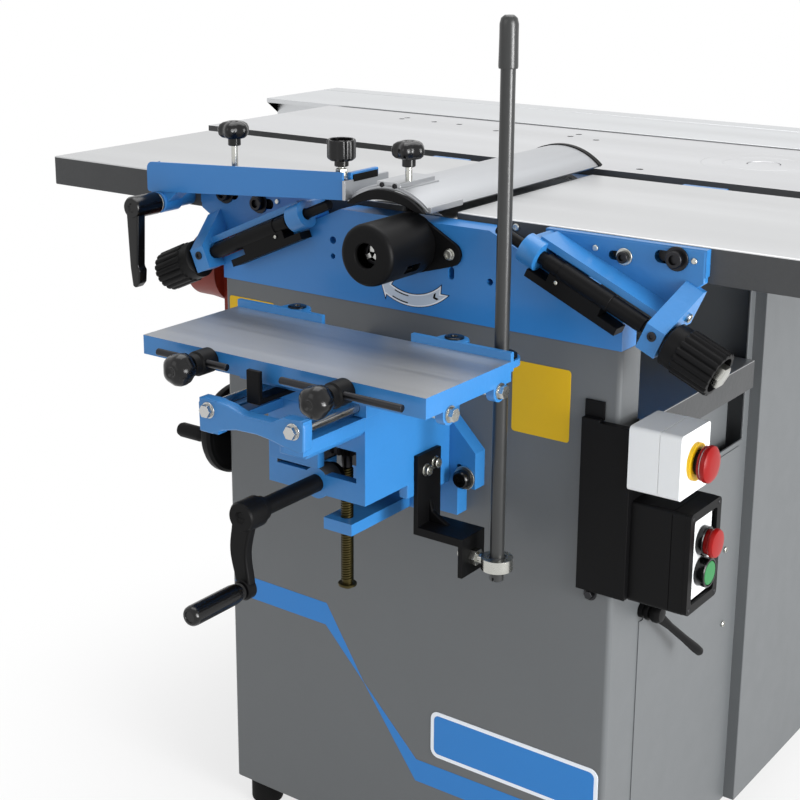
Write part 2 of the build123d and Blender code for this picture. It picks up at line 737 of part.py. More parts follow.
def adjuster_blank(inward):
    """Right adjusting screw with its fluted hand knob and hexagon end."""
    screw = rod_x(SCREW_R, SCREW_IN, KNOB_S + SLIDE, 0, 0)
    collar = rod_x(KNOB_COLLAR_R, STRUT_S + STRUT_T + SLIDE, KNOB_S + SLIDE, 0, 0)
    grip = Circle(KNOB_R)
    for place in PolarLocations(KNOB_R + KNOB_FLUTE_R / 2, KNOB_FLUTES):
        grip -= place * Circle(KNOB_FLUTE_R)
    knob = extrude(Plane((KNOB_S, 0, 0), x_dir=(0, 1, 0), z_dir=(1, 0, 0)) * grip, KNOB_LEN)
    end = KNOB_S + KNOB_LEN
    knob -= rod_x(KNOB_R - 2 * KNOB_FLUTE_R, end - KNOB_SOCKET, end + SLIDE, 0, 0)
    nut_face = Plane((end - KNOB_SOCKET - SLIDE, 0, 0), x_dir=(0, 1, 0), z_dir=(1, 0, 0))
    nut = extrude(nut_face * hexagon(KNOB_HEX), KNOB_SOCKET)
    return on_slope(screw + collar + knob + nut, inward)


def knife_slots(radius):
    """Knives stand in slots round the cutterblock: one radial slab for each knife."""
    slabs = []
    for k in range(KNIVES):
        slab = block(-KNIFE_T / 2, KNIFE_T / 2, TABLE_FRONT + 1, TABLE_REAR - 1,
                     CUTTER_R - KNIFE_H, radius)
        slabs.append(Pos(0, 0, CUTTER_Z) * Rot(0, 360 * k / KNIVES, 0) * slab)
    return slabs


def cutterblock():
    """Planer cutterblock with its journals in the housing's two plates."""
    shaft = rod_y(CUTTER_BODY_R, TABLE_FRONT + 1, TABLE_REAR - 1, 0, CUTTER_Z)
    shaft += rod_y(JOURNAL_R, HOUSING_FRONT, REAR_PLATE_Y + REAR_PLATE_T, 0, CUTTER_Z)
    for slab in knife_slots(CUTTER_R + SHEET):
        shaft -= slab
    return shaft


def planer_knives():
    """Knives clamped in the cutterblock."""
    return knife_slots(CUTTER_R)


def mortise_chuck():
    """Chuck on the front end of the cutterblock."""
    y1 = HOUSING_FRONT
    y0 = y1 - CHUCK_LEN + CHUCK_NOSE_LEN
    chuck = rod_y(CHUCK_R, y0, y1, 0, CUTTER_Z)
    nose = Cone(CHUCK_R, CHUCK_NOSE_R, CHUCK_NOSE_LEN)
    chuck += Pos(0, y0 - CHUCK_NOSE_LEN / 2, CUTTER_Z) * Rot(90, 0, 0) * nose
    tip = y0 - CHUCK_NOSE_LEN
    return chuck - rod_y(CHUCK_BORE_R, tip - SLIDE, tip + CHUCK_BORE_LEN, 0, CUTTER_Z)


def chuck_cover():
    """Black cover round the chuck, with a screw lug on the right and a key slot."""
    y1 = HOUSING_FRONT
    y0 = y1 - COVER_LEN
    cover = rod_y(COVER_R, y0, y1, 0, CUTTER_Z)
    cover = fillet(cover.edges().group_by(Axis.Y)[0], COVER_EDGE_R)
    lug_z = CUTTER_Z - COVER_LUG_R / 2
    cover += rod_y(COVER_LUG_R, y1 - COVER_BASE_T, y1, COVER_LUG_X, lug_z)
    cover += block(0, COVER_LUG_X, y1 - COVER_BASE_T, y1, lug_z - COVER_LUG_R,
                   lug_z + COVER_LUG_R)
    cover -= rod_y(COVER_R - COVER_WALL, y0 + COVER_WALL, y1 + SLIDE, 0, CUTTER_Z)
    cover -= rod_y(COVER_HOLE_R, y0 - SLIDE, y0 + 2 * COVER_WALL, 0, CUTTER_Z)
    slot_y = (y0 + y1) / 2
    cover -= block(0, 2 * COVER_R, slot_y - COVER_SLOT_LEN / 2, slot_y + COVER_SLOT_LEN / 2,
                   CUTTER_Z - COVER_R / 2 - COVER_SLOT_W / 2,
                   CUTTER_Z - COVER_R / 2 + COVER_SLOT_W / 2)
    return cover


def infeed_bracket():
    """Left bracket and rear shoe, and the stud that the guard's arm turns on."""
    stud = rod_y(PIVOT_R, TABLE_FRONT - PIVOT_LEN, TABLE_FRONT, PIVOT_X, PIVOT_Z)
    stud -= rod_y(CLAMP_STUD_R + FIT, TABLE_FRONT - PIVOT_LEN - SLIDE,
                  TABLE_FRONT - PIVOT_LEN + CLAMP_STUD_LEN, PIVOT_X, PIVOT_Z)
    return [mirror_x(bracket_blank(INFEED_IN)), mirror_x(shoe_blank()), stud]


def arm_line(x):
    """Height of the arm's underside at a distance along the machine."""
    return TABLE_TOP - ARM_LEFT_UNDER + (x - ARM_LEFT) * tan(radians(ARM_TILT))


def guard_arm():
    """Channel arm of the guard with its pivot eye and the clip over the beam."""
    left = arm_line(ARM_LEFT)
    right = arm_line(ARM_RIGHT)
    outline = [(ARM_LEFT, left), (ARM_RIGHT, right), (ARM_RIGHT, right + ARM_H),
               (ARM_LEFT, left + ARM_H)]
    arm = plate_xz(outline, ARM_Y0, ARM_Y1)
    inside = [(ARM_LEFT + ARM_WALL, left - ARM_WALL), (ARM_RIGHT + ARM_WALL, right - ARM_WALL),
              (ARM_RIGHT + ARM_WALL, right + ARM_H - ARM_WALL),
              (ARM_LEFT + ARM_WALL, left + ARM_H - ARM_WALL)]
    arm -= plate_xz(inside, ARM_Y0 + ARM_WALL, ARM_Y1 - ARM_WALL)
    eye_top = arm_line(PIVOT_X)
    arm += rod_y(PIVOT_EYE_R, ARM_Y0, ARM_Y1, PIVOT_X, PIVOT_Z)
    arm += block(PIVOT_X - PIVOT_EYE_R, PIVOT_X + PIVOT_EYE_R, ARM_Y0, ARM_Y1, PIVOT_Z, eye_top
                 + ARM_WALL)
    arm -= rod_y(PIVOT_R + FIT, ARM_Y0 - SLIDE, ARM_Y1 + SLIDE, PIVOT_X, PIVOT_Z)
    arm += block(CUP_X - CUP_R, BEAM_STAR_X + CLIP_END, ARM_MID_Y - CLIP_W / 2,
                 BEAM_STAR_Y + CLIP_W / 2, CLIP_Z, CLIP_Z + CLIP_T)
    for x, y in ((ARM_STAR_X, ARM_MID_Y), (CUP_X, ARM_MID_Y), (BEAM_STAR_X, BEAM_STAR_Y)):
        arm -= rod_z(STAR_STUD_R + FIT, arm_line(x) + ARM_H / 2, CLIP_Z + ARM_H, x, y)
    return arm


def beam_outline(inset):
    """Arched section of the guard's beam."""
    half = (BEAM_RIGHT - BEAM_LEFT) / 2 - inset
    rise = BEAM_ARCH - inset
    middle = (BEAM_LEFT + BEAM_RIGHT) / 2
    base = BEAM_Z
    arch = ThreePointArc((middle - half, base), (middle, base + rise), (middle + half, base))
    return make_face(arch + Line((middle + half, base), (middle - half, base)))


def beam_solid(inset, y0, y1):
    """Length of the beam's arch, drawn in by an even inset."""
    face = Plane((0, y1, 0), x_dir=(1, 0, 0), z_dir=(0, -1, 0)) * beam_outline(inset)
    return extrude(face, y1 - y0)


def guard_beam():
    """Arched aluminium beam with a slotted ridge along its top."""
    y0 = BEAM_FRONT + CAP_T
    y1 = BEAM_FRONT + BEAM_LEN - CAP_T
    beam = beam_solid(0, y0, y1) - beam_solid(BEAM_WALL, y0 - SLIDE, y1 + SLIDE)
    middle = (BEAM_LEFT + BEAM_RIGHT) / 2
    ridge = block(middle - RIDGE_W, middle + RIDGE_W, y0, y1, BEAM_APEX - BEAM_WALL,
                  BEAM_APEX + RIDGE_H)
    ridge -= block(middle - RIDGE_W / 2, middle + RIDGE_W / 2, y0 - SLIDE, y1 + SLIDE, BEAM_APEX,
                   BEAM_APEX + 2 * RIDGE_H)
    return beam + ridge


def guard_end_caps():
    """Black crescent caps on the ends of the beam."""
    y1 = BEAM_FRONT + BEAM_LEN
    return [beam_solid(0, y, y + CAP_T) - beam_solid(CAP_BAND, y - SLIDE, y + CAP_T + SLIDE)
            for y in (BEAM_FRONT, y1 - CAP_T)]


def star_knob(x, y, under, tip):
    """Star knob of the guard with its neck and screw."""
    knob = Pos(x, y, under) * lobed(STAR_R, STAR_H, STAR_LOBES)
    knob += rod_z(2 * STAR_STUD_R, under - STAR_H / 2, under + STAR_H / 2, x, y)
    return knob + rod_z(STAR_STUD_R, tip, under, x, y)


def arm_star_knob():
    """Star knob on the guard's arm."""
    return star_knob(ARM_STAR_X, ARM_MID_Y, TABLE_TOP + ARM_STAR_RISE,
                     arm_line(ARM_STAR_X) + ARM_H - 3 * ARM_WALL)


def beam_star_knob():
    """Star knob on the clip over the guard's beam."""
    return star_knob(BEAM_STAR_X, BEAM_STAR_Y, CLIP_Z + CLIP_T + BEAM_STAR_GAP, CLIP_Z + SLIDE)


def cup_knob():
    """Round cup knob that holds the clip on the arm."""
    under = CLIP_Z + CLIP_T + CUP_GAP
    knob = rod_z(CUP_R, under, under + CUP_H, CUP_X, ARM_MID_Y)
    knob -= rod_z(CUP_R - BEAM_WALL, under + CUP_H / 2, under + CUP_H + SLIDE, CUP_X, ARM_MID_Y)
    return knob + rod_z(STAR_STUD_R, CLIP_Z - 2 * CLIP_T, under + SLIDE, CUP_X, ARM_MID_Y)


def clamp_lever():
    """Lever that locks the guard's arm, with its hub on the pivot stud."""
    y1 = TABLE_FRONT - PIVOT_LEN - CLAMP_GAP
    y0 = y1 - CLAMP_HUB_LEN
    lever = rod_y(CLAMP_HUB_R, y0, y1, PIVOT_X, PIVOT_Z)
    lever += rod_y(CLAMP_STUD_R, y1 - SLIDE, y1 + CLAMP_GAP + CLAMP_STUD_LEN - SLIDE, PIVOT_X,
                   PIVOT_Z)
    wide = CLAMP_HUB_R
    tip = wide / 2
    outline = [(PIVOT_X - wide, PIVOT_Z), (PIVOT_X + wide, PIVOT_Z),
               (PIVOT_X + wide + tip, PIVOT_Z - CLAMP_ARM_LEN),
               (PIVOT_X + tip, PIVOT_Z - CLAMP_ARM_LEN)]
    return lever + plate_xz(outline, y0, y0 + CLAMP_ARM_T)


def thicknesser_bed():
    """Cast bed of the thicknesser with its rim and the round column under it."""
    right = CAB_RIGHT + BED_OUT
    bed = block(BED_LEFT, right, BED_Y0, BED_Y1, BED_LOW, BED_TOP)
    bed -= block(BED_LEFT + BED_RIM, right - BED_RIM, BED_Y0 + BED_RIM, BED_Y1 - BED_RIM,
                 BED_LOW - SLIDE, BED_TOP - BED_RIM)
    return bed + rod_z(COLUMN_R, BED_LOW - COLUMN_LEN, BED_TOP - BED_RIM / 2, 0, BED_Y)


def chip_hood():
    """Sheet chip hood that stands on the bed, with a cone and a round hose spout."""
    hood = block(HOOD_OUT, HOOD_IN, HOOD_Y0, HOOD_Y1, BED_TOP, HOOD_Z0 + HOOD_H - HOOD_FOOT)
    hood -= block(HOOD_OUT + HOOD_WALL, HOOD_IN + HOOD_WALL, HOOD_Y0 + HOOD_WALL,
                  HOOD_Y1 - HOOD_WALL, HOOD_Z0, HOOD_Z0 + HOOD_H - HOOD_FOOT - HOOD_WALL)
    mouth_r = SPOUT_Y - HOOD_Y0 - 2 * HOOD_WALL
    root = SPOUT_R + HOOD_FOOT
    cone = Cone(root, SPOUT_R, CONE_LEN)
    at_cone = Pos(HOOD_OUT - CONE_LEN / 2, SPOUT_Y, SPOUT_Z) * Rot(0, -90, 0)
    hood += at_cone * cone
    hood += rod_x(SPOUT_R, SPOUT_END, HOOD_OUT - CONE_LEN + SLIDE, SPOUT_Y, SPOUT_Z)
    hood -= rod_x(mouth_r, HOOD_OUT - CONE_LEN, HOOD_OUT + 2 * HOOD_WALL, SPOUT_Y, SPOUT_Z)
    return hood - rod_x(SPOUT_R - HOOD_WALL, SPOUT_END - SLIDE, HOOD_OUT - HOOD_WALL, SPOUT_Y,
                        SPOUT_Z)


def bed_handwheel():
    """Handwheel that raises the bed, with its shaft and crank handle."""
    x1 = CAB_LEFT - WHEEL_OFF
    x0 = x1 - WHEEL_T
    wheel = rod_x(WHEEL_R, x0, x1, WHEEL_Y, WHEEL_Z)
    wheel -= rod_x(WHEEL_R - 2 * WHEEL_RIM, x0 - SLIDE, x1 + SLIDE, WHEEL_Y, WHEEL_Z)
    spoke = block(x0 + WHEEL_RIM / 2, x1 - WHEEL_RIM / 2, WHEEL_Y - WHEEL_R + WHEEL_RIM,
                  WHEEL_Y + WHEEL_R - WHEEL_RIM, WHEEL_Z - WHEEL_RIM, WHEEL_Z + WHEEL_RIM)
    wheel += spoke
    wheel += rod_x(WHEEL_HUB_R, x0, CAB_LEFT - SLIDE, WHEEL_Y, WHEEL_Z)
    wheel += rod_x(WHEEL_SHAFT_R, x0, CAB_LEFT + WHEEL_SHAFT_LEN, WHEEL_Y, WHEEL_Z)
    return wheel + rod_x(WHEEL_GRIP_R, x0 - WHEEL_GRIP_LEN, x1, WHEEL_Y - WHEEL_GRIP_AT, WHEEL_Z)


def bed_lock_lever():
    """Lever on the right side that locks the bed."""
    x0 = CAB_RIGHT + SLIDE
    lever = rod_x(LOCK_HUB_R, x0, x0 + LOCK_HUB_LEN, LOCK_Y, LOCK_Z)
    lever += rod_x(LOCK_STUD_R, CAB_RIGHT - LOCK_STUD_LEN, x0 + LOCK_HUB_LEN, LOCK_Y, LOCK_Z)
    length = sqrt(LOCK_ARM_Y ** 2 + LOCK_ARM_Z ** 2)
    side_y = LOCK_ARM_R * LOCK_ARM_Z / length
    side_z = LOCK_ARM_R * LOCK_ARM_Y / length
    tip = (LOCK_Y + LOCK_ARM_Y, LOCK_Z - LOCK_ARM_Z)
    outline = [(LOCK_Y - side_y, LOCK_Z - side_z), (tip[0] - side_y, tip[1] - side_z),
               (tip[0] + side_y, tip[1] + side_z), (LOCK_Y + side_y, LOCK_Z + side_z)]
    return lever + plate_yz(outline, x0 + LOCK_HUB_LEN - 2 * LOCK_ARM_R, x0 + LOCK_HUB_LEN)


def below(drop):
    """Height of a point of the mortiser below the face of its table."""
    return MORT_TOP - drop


def mortiser_slideway():
    """Casting on the cabinet's front with the upright rail and the lift screw's nut arm."""
    shoulder = below(WING_HIGH) + WAY_WING - KNEE_HALF
    half = [(WAY_HALF, below(WAY_BOTTOM)), (WAY_HALF, below(WING_LOW)),
            (WAY_WING, below(WING_LOW)), (WAY_WING, below(WING_HIGH)), (KNEE_HALF, shoulder),
            (KNEE_HALF, below(WAY_TOP))]
    other = [(-x, z) for x, z in reversed(half)]
    way = plate_xz(half + other, -WAY_T, 0)
    way += block(-RAIL_HALF, RAIL_HALF, -WAY_T - RAIL_T, -WAY_T / 2, below(WAY_BOTTOM),
                 below(WAY_TOP))
    way += block(-NUT_ARM_HALF, NUT_ARM_HALF, -NUT_ARM_OUT, -WAY_T / 2, below(WAY_BOTTOM),
                 below(WAY_BOTTOM) + NUT_ARM_H)
    way -= rod_z(LIFT_R + FIT, below(WAY_BOTTOM) - NUT_ARM_H, below(WAY_BOTTOM) + 2 * NUT_ARM_H,
                 0, LIFT_Y)
    return way - rod_y(LOCK_SCREW_R + FIT, -2 * WAY_T, SLIDE, LOCK_KNOB_X, below(LOCK_KNOB_DROP))


def slideway_lock():
    """Round-headed screw that locks the knee on its slideway."""
    z = below(LOCK_KNOB_DROP)
    face = -WAY_T - SLIDE
    head = rod_y(LOCK_KNOB_R, face - LOCK_KNOB_T, face, LOCK_KNOB_X, z)
    return head + rod_y(LOCK_SCREW_R, face - SLIDE, -LOCK_SCREW_R, LOCK_KNOB_X, z)


def knee_casting():
    """Hollow knee that rises on the slideway, with horns and a yoke for the cross rods."""
    top = below(KNEE_TOP)
    low = below(KNEE_BOTTOM)
    back = KNEE_REAR - KNEE_BACK_T
    ear_top = below(KNEE_EAR_TOP)
    knee = block(-KNEE_HALF, KNEE_HALF, KNEE_FRONT, KNEE_REAR, top - KNEE_TOP_T, top)
    knee += block(-KNEE_HALF, KNEE_HALF, KNEE_FRONT, KNEE_FRONT + KNEE_WALL,
                  below(KNEE_MOUTH_TOP), top)
    knee += block(-KNEE_HALF, KNEE_HALF, KNEE_FRONT, KNEE_FRONT + KNEE_WALL, low,
                  low + KNEE_BAR_H)
    knee += block(-KNEE_HALF, KNEE_HALF, back, KNEE_REAR, below(KNEE_BACK_LOW), top)
    knee += rod_y(CRANK_BEARING_R, KNEE_FRONT, KNEE_FRONT + CRANK_BEARING_LEN, 0, CRANK_Z)
    for side in (-1, 1):
        knee += block(side * (KNEE_HALF - KNEE_WALL), side * KNEE_HALF, KNEE_FRONT, KNEE_REAR,
                      low, top)
        knee += block(side * (YROD_X - KNEE_EAR_HALF), side * (YROD_X + KNEE_EAR_HALF), back,
                      KNEE_REAR, top - KNEE_WALL, ear_top)
        knee += block(side * (KNEE_HALF - HORN_W), side * KNEE_HALF, YOKE_FRONT,
                      KNEE_FRONT + KNEE_WALL, top - HORN_T, top)
        knee += block(side * (YROD_X - KNEE_EAR_HALF), side * (YROD_X + KNEE_EAR_HALF),
                      YOKE_FRONT, YOKE_FRONT + YOKE_T, below(YOKE_EAR_LOW), ear_top)
    knee += block(-YROD_X, YROD_X, YOKE_FRONT, YOKE_FRONT + YOKE_T, below(YOKE_MID_LOW),
                  below(YOKE_MID_TOP))
    knee -= block(-RAIL_HALF - SLIDE, RAIL_HALF + SLIDE, -WAY_T - RAIL_T - SLIDE, 0,
                  below(KNEE_BACK_LOW) - SHEET, top + SHEET)
    for side in (-1, 1):
        knee -= rod_y(ROD_R + FIT, YOKE_FRONT - SHEET, KNEE_REAR + SHEET, side * YROD_X, YROD_Z)
    knee -= rod_z(LIFT_R + FIT, top - 2 * KNEE_TOP_T, top + SHEET, 0, LIFT_Y)
    return knee - rod_y(CRANK_SHAFT_R + FIT, KNEE_FRONT - SHEET,
                        KNEE_FRONT + 2 * CRANK_BEARING_LEN, 0, CRANK_Z)


def cross_rods():
    """Two steel rods from front to back in the knee, each with its end bolt and washer."""
    rods = []
    for side in (-1, 1):
        x = side * YROD_X
        rod = rod_y(ROD_R, YOKE_FRONT, KNEE_REAR, x, YROD_Z)
        rod += rod_y(WASHER_R, YOKE_FRONT - WASHER_T, YOKE_FRONT, x, YROD_Z)
        face = Plane((x, YOKE_FRONT - WASHER_T, YROD_Z), x_dir=(1, 0, 0), z_dir=(0, -1, 0))
        rods.append(rod + extrude(face * hexagon(BOLT_AF), BOLT_H))
    return rods


def cross_carriage():
    """Carriage between the two pairs of rods."""
    carriage = block(-CARR_HALF, CARR_HALF, CARR_FRONT, CARR_REAR, below(CARR_LOW),
                     below(CARR_MID))
    carriage += block(-CARR_HALF, CARR_HALF, CARR_UP_FRONT, CARR_REAR, below(CARR_MID),
                      below(CARR_TOP))
    for side in (-1, 1):
        carriage -= rod_y(ROD_R + FIT, CARR_UP_FRONT - SHEET, CARR_REAR + SHEET, side * YROD_X,
                          YROD_Z)
    for y in (XROD_FRONT, XROD_REAR):
        carriage -= rod_x(ROD_R + FIT, -CARR_HALF - SHEET, CARR_HALF + SHEET, y, XROD_Z)
    return carriage


def stop_bracket():
    """Black angle on the carriage that the two stop rods meet."""
    front = MORT_FRONT - TAB_OUT
    z0 = below(CARR_MID) - TAB_T
    leg = block(TAB_X0, TAB_X1, front, CARR_FRONT - TAB_T, z0, below(CARR_MID))
    return leg + block(TAB_X0, TAB_X1, front, front + TAB_T, z0, below(TAB_TOP))


def mortise_table():
    """Cast table of the mortiser: skirts, rod bosses, rear lips, stop hubs and lever lug."""
    under = MORT_TOP - MORT_T
    hem = MORT_TOP - SKIRT_DROP
    table = block(-MORT_HALF, MORT_HALF, MORT_FRONT, MORT_REAR, under, MORT_TOP)
    table += block(-MORT_HALF, MORT_HALF, MORT_FRONT, MORT_FRONT + SKIRT, hem, MORT_TOP)
    for side in (-1, 1):
        inner = side * (MORT_HALF - SKIRT)
        table += block(inner, side * MORT_HALF, MORT_FRONT, MORT_REAR, hem, MORT_TOP)
        for y in (XROD_FRONT, XROD_REAR):
            table += rod_x(XBOSS_R, inner, side * MORT_HALF, y, XROD_Z)
            table += block(inner, side * MORT_HALF, y - XBOSS_R, y + XBOSS_R, XROD_Z, under)
        table += block(side * LIP_IN, side * LIP_OUT, MORT_REAR - LIP_TH, MORT_REAR + LIP_TH,
                       under, MORT_TOP + LIP_RISE)
        table += rod_y(HUB_R, MORT_FRONT - HUB_LEN, MORT_FRONT + SKIRT, side * STOP_X, STOP_Z)
    table -= block(-LIP_OUT, LIP_OUT, MORT_FRONT + SKIRT, MORT_REAR, MORT_TOP,
                   MORT_TOP + 2 * LIP_RISE)
    lug = block(LEVER_X - LUG_HALF, LEVER_X + LUG_HALF, MORT_REAR - SKIRT, LEVER_Y, under,
                under + RING_T)
    lug += rod_z(LUG_HALF, under, under + RING_T, LEVER_X, LEVER_Y)
    table += lug
    table -= rod_z(RING_BORE_R, under - SHEET, under + RING_T + SHEET, LEVER_X, LEVER_Y)
    for y in (XROD_FRONT, XROD_REAR):
        table -= rod_x(ROD_R + FIT, -MORT_HALF - SHEET, MORT_HALF + SHEET, y, XROD_Z)
    table -= rod_x(STOP_ROD_R + FIT, -MORT_HALF, MORT_HALF, STOP_ROD_Y, STOP_ROD_Z)
    for side in (-1, 1):
        table -= rod_y(STOP_STUD_R + FIT, MORT_FRONT - HUB_LEN - SHEET, STOP_ROD_Y,
                       side * STOP_X, STOP_Z)
    return table


def table_rods():
    """Two steel rods along the mortise table, with a bolt and washer on each end."""
    rods = []
    for y in (XROD_FRONT, XROD_REAR):
        rod = rod_x(ROD_R, -MORT_HALF, MORT_HALF, y, XROD_Z)
        for side in (-1, 1):
            outer = side * (MORT_HALF + WASHER_T)
            rod += rod_x(WASHER_R, side * MORT_HALF, outer, y, XROD_Z)
            face = Plane((outer, y, XROD_Z), x_dir=(0, 1, 0), z_dir=(side, 0, 0))
            rod += extrude(face * hexagon(BOLT_AF), BOLT_H)
        rods.append(rod)
    return rods


def stop_rod(ends):
    """Round stop rod along the front of the mortise table."""
    return rod_x(STOP_ROD_R, ends[0], ends[1], STOP_ROD_Y, STOP_ROD_Z)


def stop_knob(x):
    """Lobed knob that clamps a stop rod in its hub."""
    seat = MORT_FRONT - HUB_LEN - STOP_KNOB_GAP
    knob = lobed(STOP_KNOB_R, STOP_KNOB_LEN, STOP_KNOB_LOBES)
    knob = Pos(x, seat, STOP_Z) * Rot(90, 0, 0) * knob
    return knob + rod_y(STOP_STUD_R, seat - SLIDE, STOP_ROD_Y - STOP_ROD_R - SLIDE, x, STOP_Z)


def lever_bracket():
    """Black cranked bracket on the knee's right wall that holds the lever's rod end."""
    low = below(LB_LOW)
    bracket = block(KNEE_HALF, KNEE_HALF + LB_T, LB_Y0, LB_Y1, low, below(LB_TOP))
    bracket += block(KNEE_HALF, LB_ARM_OUT, LB_Y0, LB_Y1, low, low + LB_ARM_T)
    bracket += block(LB_ARM_OUT - LB_T, LB_ARM_OUT, LB_Y0, LB_Y1, below(LB_DROP), low + LB_ARM_T)
    return bracket - rod_x(ROD_END_SHANK_R, LB_ARM_OUT - 2 * LB_T, LB_ARM_OUT + LB_T, LEVER_Y,
                           BALL_Z)


def rod_end():
    """Rod end with its threaded shank, two nuts and a round seat for the ball."""
    end = rod_z(ROD_END_R, BALL_Z - ROD_END_H / 2, BALL_Z + ROD_END_H / 2, LEVER_X, LEVER_Y)
    inner = LB_ARM_OUT - LB_T
    end += rod_x(ROD_END_SHANK_R, inner - ROD_END_NUT_T - SHEET, LEVER_X - ROD_END_R / 2,
                 LEVER_Y, BALL_Z)
    for x in (inner - ROD_END_NUT_T, LB_ARM_OUT):
        face = Plane((x, LEVER_Y, BALL_Z), x_dir=(0, 1, 0), z_dir=(1, 0, 0))
        end += extrude(face * hexagon(ROD_END_NUT_AF), ROD_END_NUT_T)
    return end - Pos(LEVER_X, LEVER_Y, BALL_Z) * Sphere(BALL_R + RACE_T + FIT)


def ball_race():
    """Race between the rod end and the lever's ball."""
    race = Sphere(BALL_R + RACE_T) & Box(4 * BALL_R, 4 * BALL_R, RACE_H)
    return Pos(LEVER_X, LEVER_Y, BALL_Z) * (race - Sphere(BALL_R + FIT))


def control_lever():
    """Long lever of the mortiser with its ball and grip."""
    top = BALL_Z + LEVER_ROD_LEN
    lever = rod_z(LEVER_R, BALL_Z - LEVER_TAIL, top, LEVER_X, LEVER_Y)
    lever += Pos(LEVER_X, LEVER_Y, BALL_Z) * Sphere(BALL_R)
    grip = rod_z(GRIP_R, top, top + GRIP_LEN, LEVER_X, LEVER_Y)
    return lever + fillet(grip.edges().group_by(Axis.Z)[-1], GRIP_R / 2)


def lift_crank():
    """Crank of the knee: shaft with its pinion, hub, curved arm and the grip's pin."""
    shaft_end = KNEE_FRONT + CRANK_SHAFT_IN
    crank = rod_y(CRANK_SHAFT_R, CRANK_HUB_Y, shaft_end, 0, CRANK_Z)
    crank += rod_y(CRANK_PINION_R, shaft_end - CRANK_PINION_T, shaft_end, 0, CRANK_Z)
    face = CRANK_HUB_Y - CRANK_HUB_LEN
    crank += rod_y(CRANK_HUB_R, face, CRANK_HUB_Y, 0, CRANK_Z)
    eye_z = CRANK_Z - CRANK_THROW
    crank += rod_y(CRANK_EYE_R, face, face + CRANK_ARM_T, 0, eye_z)
    wide = CRANK_EYE_R * 0.8
    bow = CRANK_EYE_R * 0.5
    upper = CRANK_Z - CRANK_THROW / 3
    lower = CRANK_Z - 2 * CRANK_THROW / 3
    outline = [(-wide, CRANK_Z), (wide, CRANK_Z), (wide + bow, upper), (wide - bow, lower),
               (wide, eye_z), (-wide, eye_z), (-wide - bow, lower), (bow - wide, upper)]
    crank += plate_xz(outline, face, face + CRANK_ARM_T)
    return crank + rod_y(CRANK_PIN_R, face - CRANK_GRIP_LEN, face + SLIDE, 0, eye_z)


def crank_grip():
    """Loose grip on the crank's pin."""
    y1 = CRANK_HUB_Y - CRANK_HUB_LEN - SLIDE
    y0 = y1 - CRANK_GRIP_GAP - CRANK_GRIP_LEN
    z = CRANK_Z - CRANK_THROW
    grip = rod_y(CRANK_GRIP_R, y0, y1, 0, z)
    return grip - rod_y(CRANK_PIN_R + FIT, y0 + CRANK_GRIP_GAP - SLIDE, y1 + SLIDE, 0, z)


def lift_screw():
    """Upright screw of the knee with its gear at the top and a clip ring at its foot."""
    top = below(KNEE_TOP)
    foot = below(LIFT_LOW)
    screw = rod_z(LIFT_R, foot, top, 0, LIFT_Y)
    gear_z = CRANK_Z + LIFT_GEAR_RISE
    screw += rod_z(LIFT_GEAR_R, gear_z, gear_z + LIFT_GEAR_T, 0, LIFT_Y)
    screw += rod_z(LIFT_CLIP_R, foot + LIFT_CLIP_T, foot + 2 * LIFT_CLIP_T, 0, LIFT_Y)
    return screw


def control_bracket():
    """Folded black bracket on the cabinet's front corner for the two switch boxes."""
    front = block(CB_X0, BOX_X0, -CB_T, 0, CB_Z0, CB_Z1)
    front -= block(CB_X0 + SHEET, BOX_X0 - SHEET, SHEET - CB_T, SHEET, CB_Z0 - SHEET,
                   CB_Z1 - CB_LIP_H)
    front -= block(CB_X0 + CB_LIP, BOX_X0 + SHEET, -CB_T - SHEET, SHEET, CB_Z1 - SHEET,
                   CB_Z1 + SHEET)
    front += block(BOX_X0 - SHEET, BOX_X0, -CB_T, STRIP_FRONT, CB_Z0, CB_Z1)
    return front + block(BOX_X0 - SHEET, BOX_X0, -CB_T, SW_Y1, CB_Z0, SILL - SHEET)


def enclosure(x1, y0, y1, z0, z1):
    """Switch box with rounded edges, hollow inside."""
    outer = block(BOX_X0, x1, y0, y1, z0, z1)
    outer = fillet(outer.edges().filter_by(Axis.X), BOX_EDGE_R)
    return outer - block(BOX_X0 + SHEET, x1 - SHEET, y0 + SHEET, y1 - SHEET, z0 + SHEET,
                         z1 - SHEET)


def estop_box():
    """Box of the emergency stop with the collar round its button."""
    box = enclosure(ES_X1, ES_Y0, ES_Y1, ES_Z0, ES_Z1)
    box += rod_x(ES_COLLAR_R, ES_X1 - SHEET, ES_X1 + ES_COLLAR_T, ES_Y, ES_Z)
    return box - rod_x(ES_STEM_R + FIT, ES_X1 - 2 * SHEET, ES_X1 + 2 * ES_COLLAR_T, ES_Y, ES_Z)


def estop_button():
    """Mushroom button of the emergency stop."""
    seat = ES_X1 + ES_COLLAR_T + ES_TRAVEL + SLIDE
    head = rod_x(ES_HEAD_R, seat, seat + ES_HEAD_T, ES_Y, ES_Z)
    head = fillet(head.edges().group_by(Axis.X)[-1], ES_HEAD_T / 3)
    return head + rod_x(ES_STEM_R, ES_X1 - ES_STEM_LEN, seat + SLIDE, ES_Y, ES_Z)


def switch_box():
    """Box of the stop and start buttons with its face plate."""
    box = enclosure(SW_X1, SW_Y0, SW_Y1, SW_Z0, SW_Z1)
    box += block(SW_X1 - SHEET, SW_X1 + SW_PLATE_T, SW_Y - SW_PLATE_W / 2, SW_Y + SW_PLATE_W / 2,
                 SW_Z - SW_PLATE_H / 2, SW_Z + SW_PLATE_H / 2)
    for z in (STOP_BUTTON_Z, START_BUTTON_Z):
        box -= rod_x(SW_BUTTON_R + FIT, SW_X1 - 2 * SHEET, SW_X1 + 2 * SW_PLATE_T, SW_Y, z)
    return box


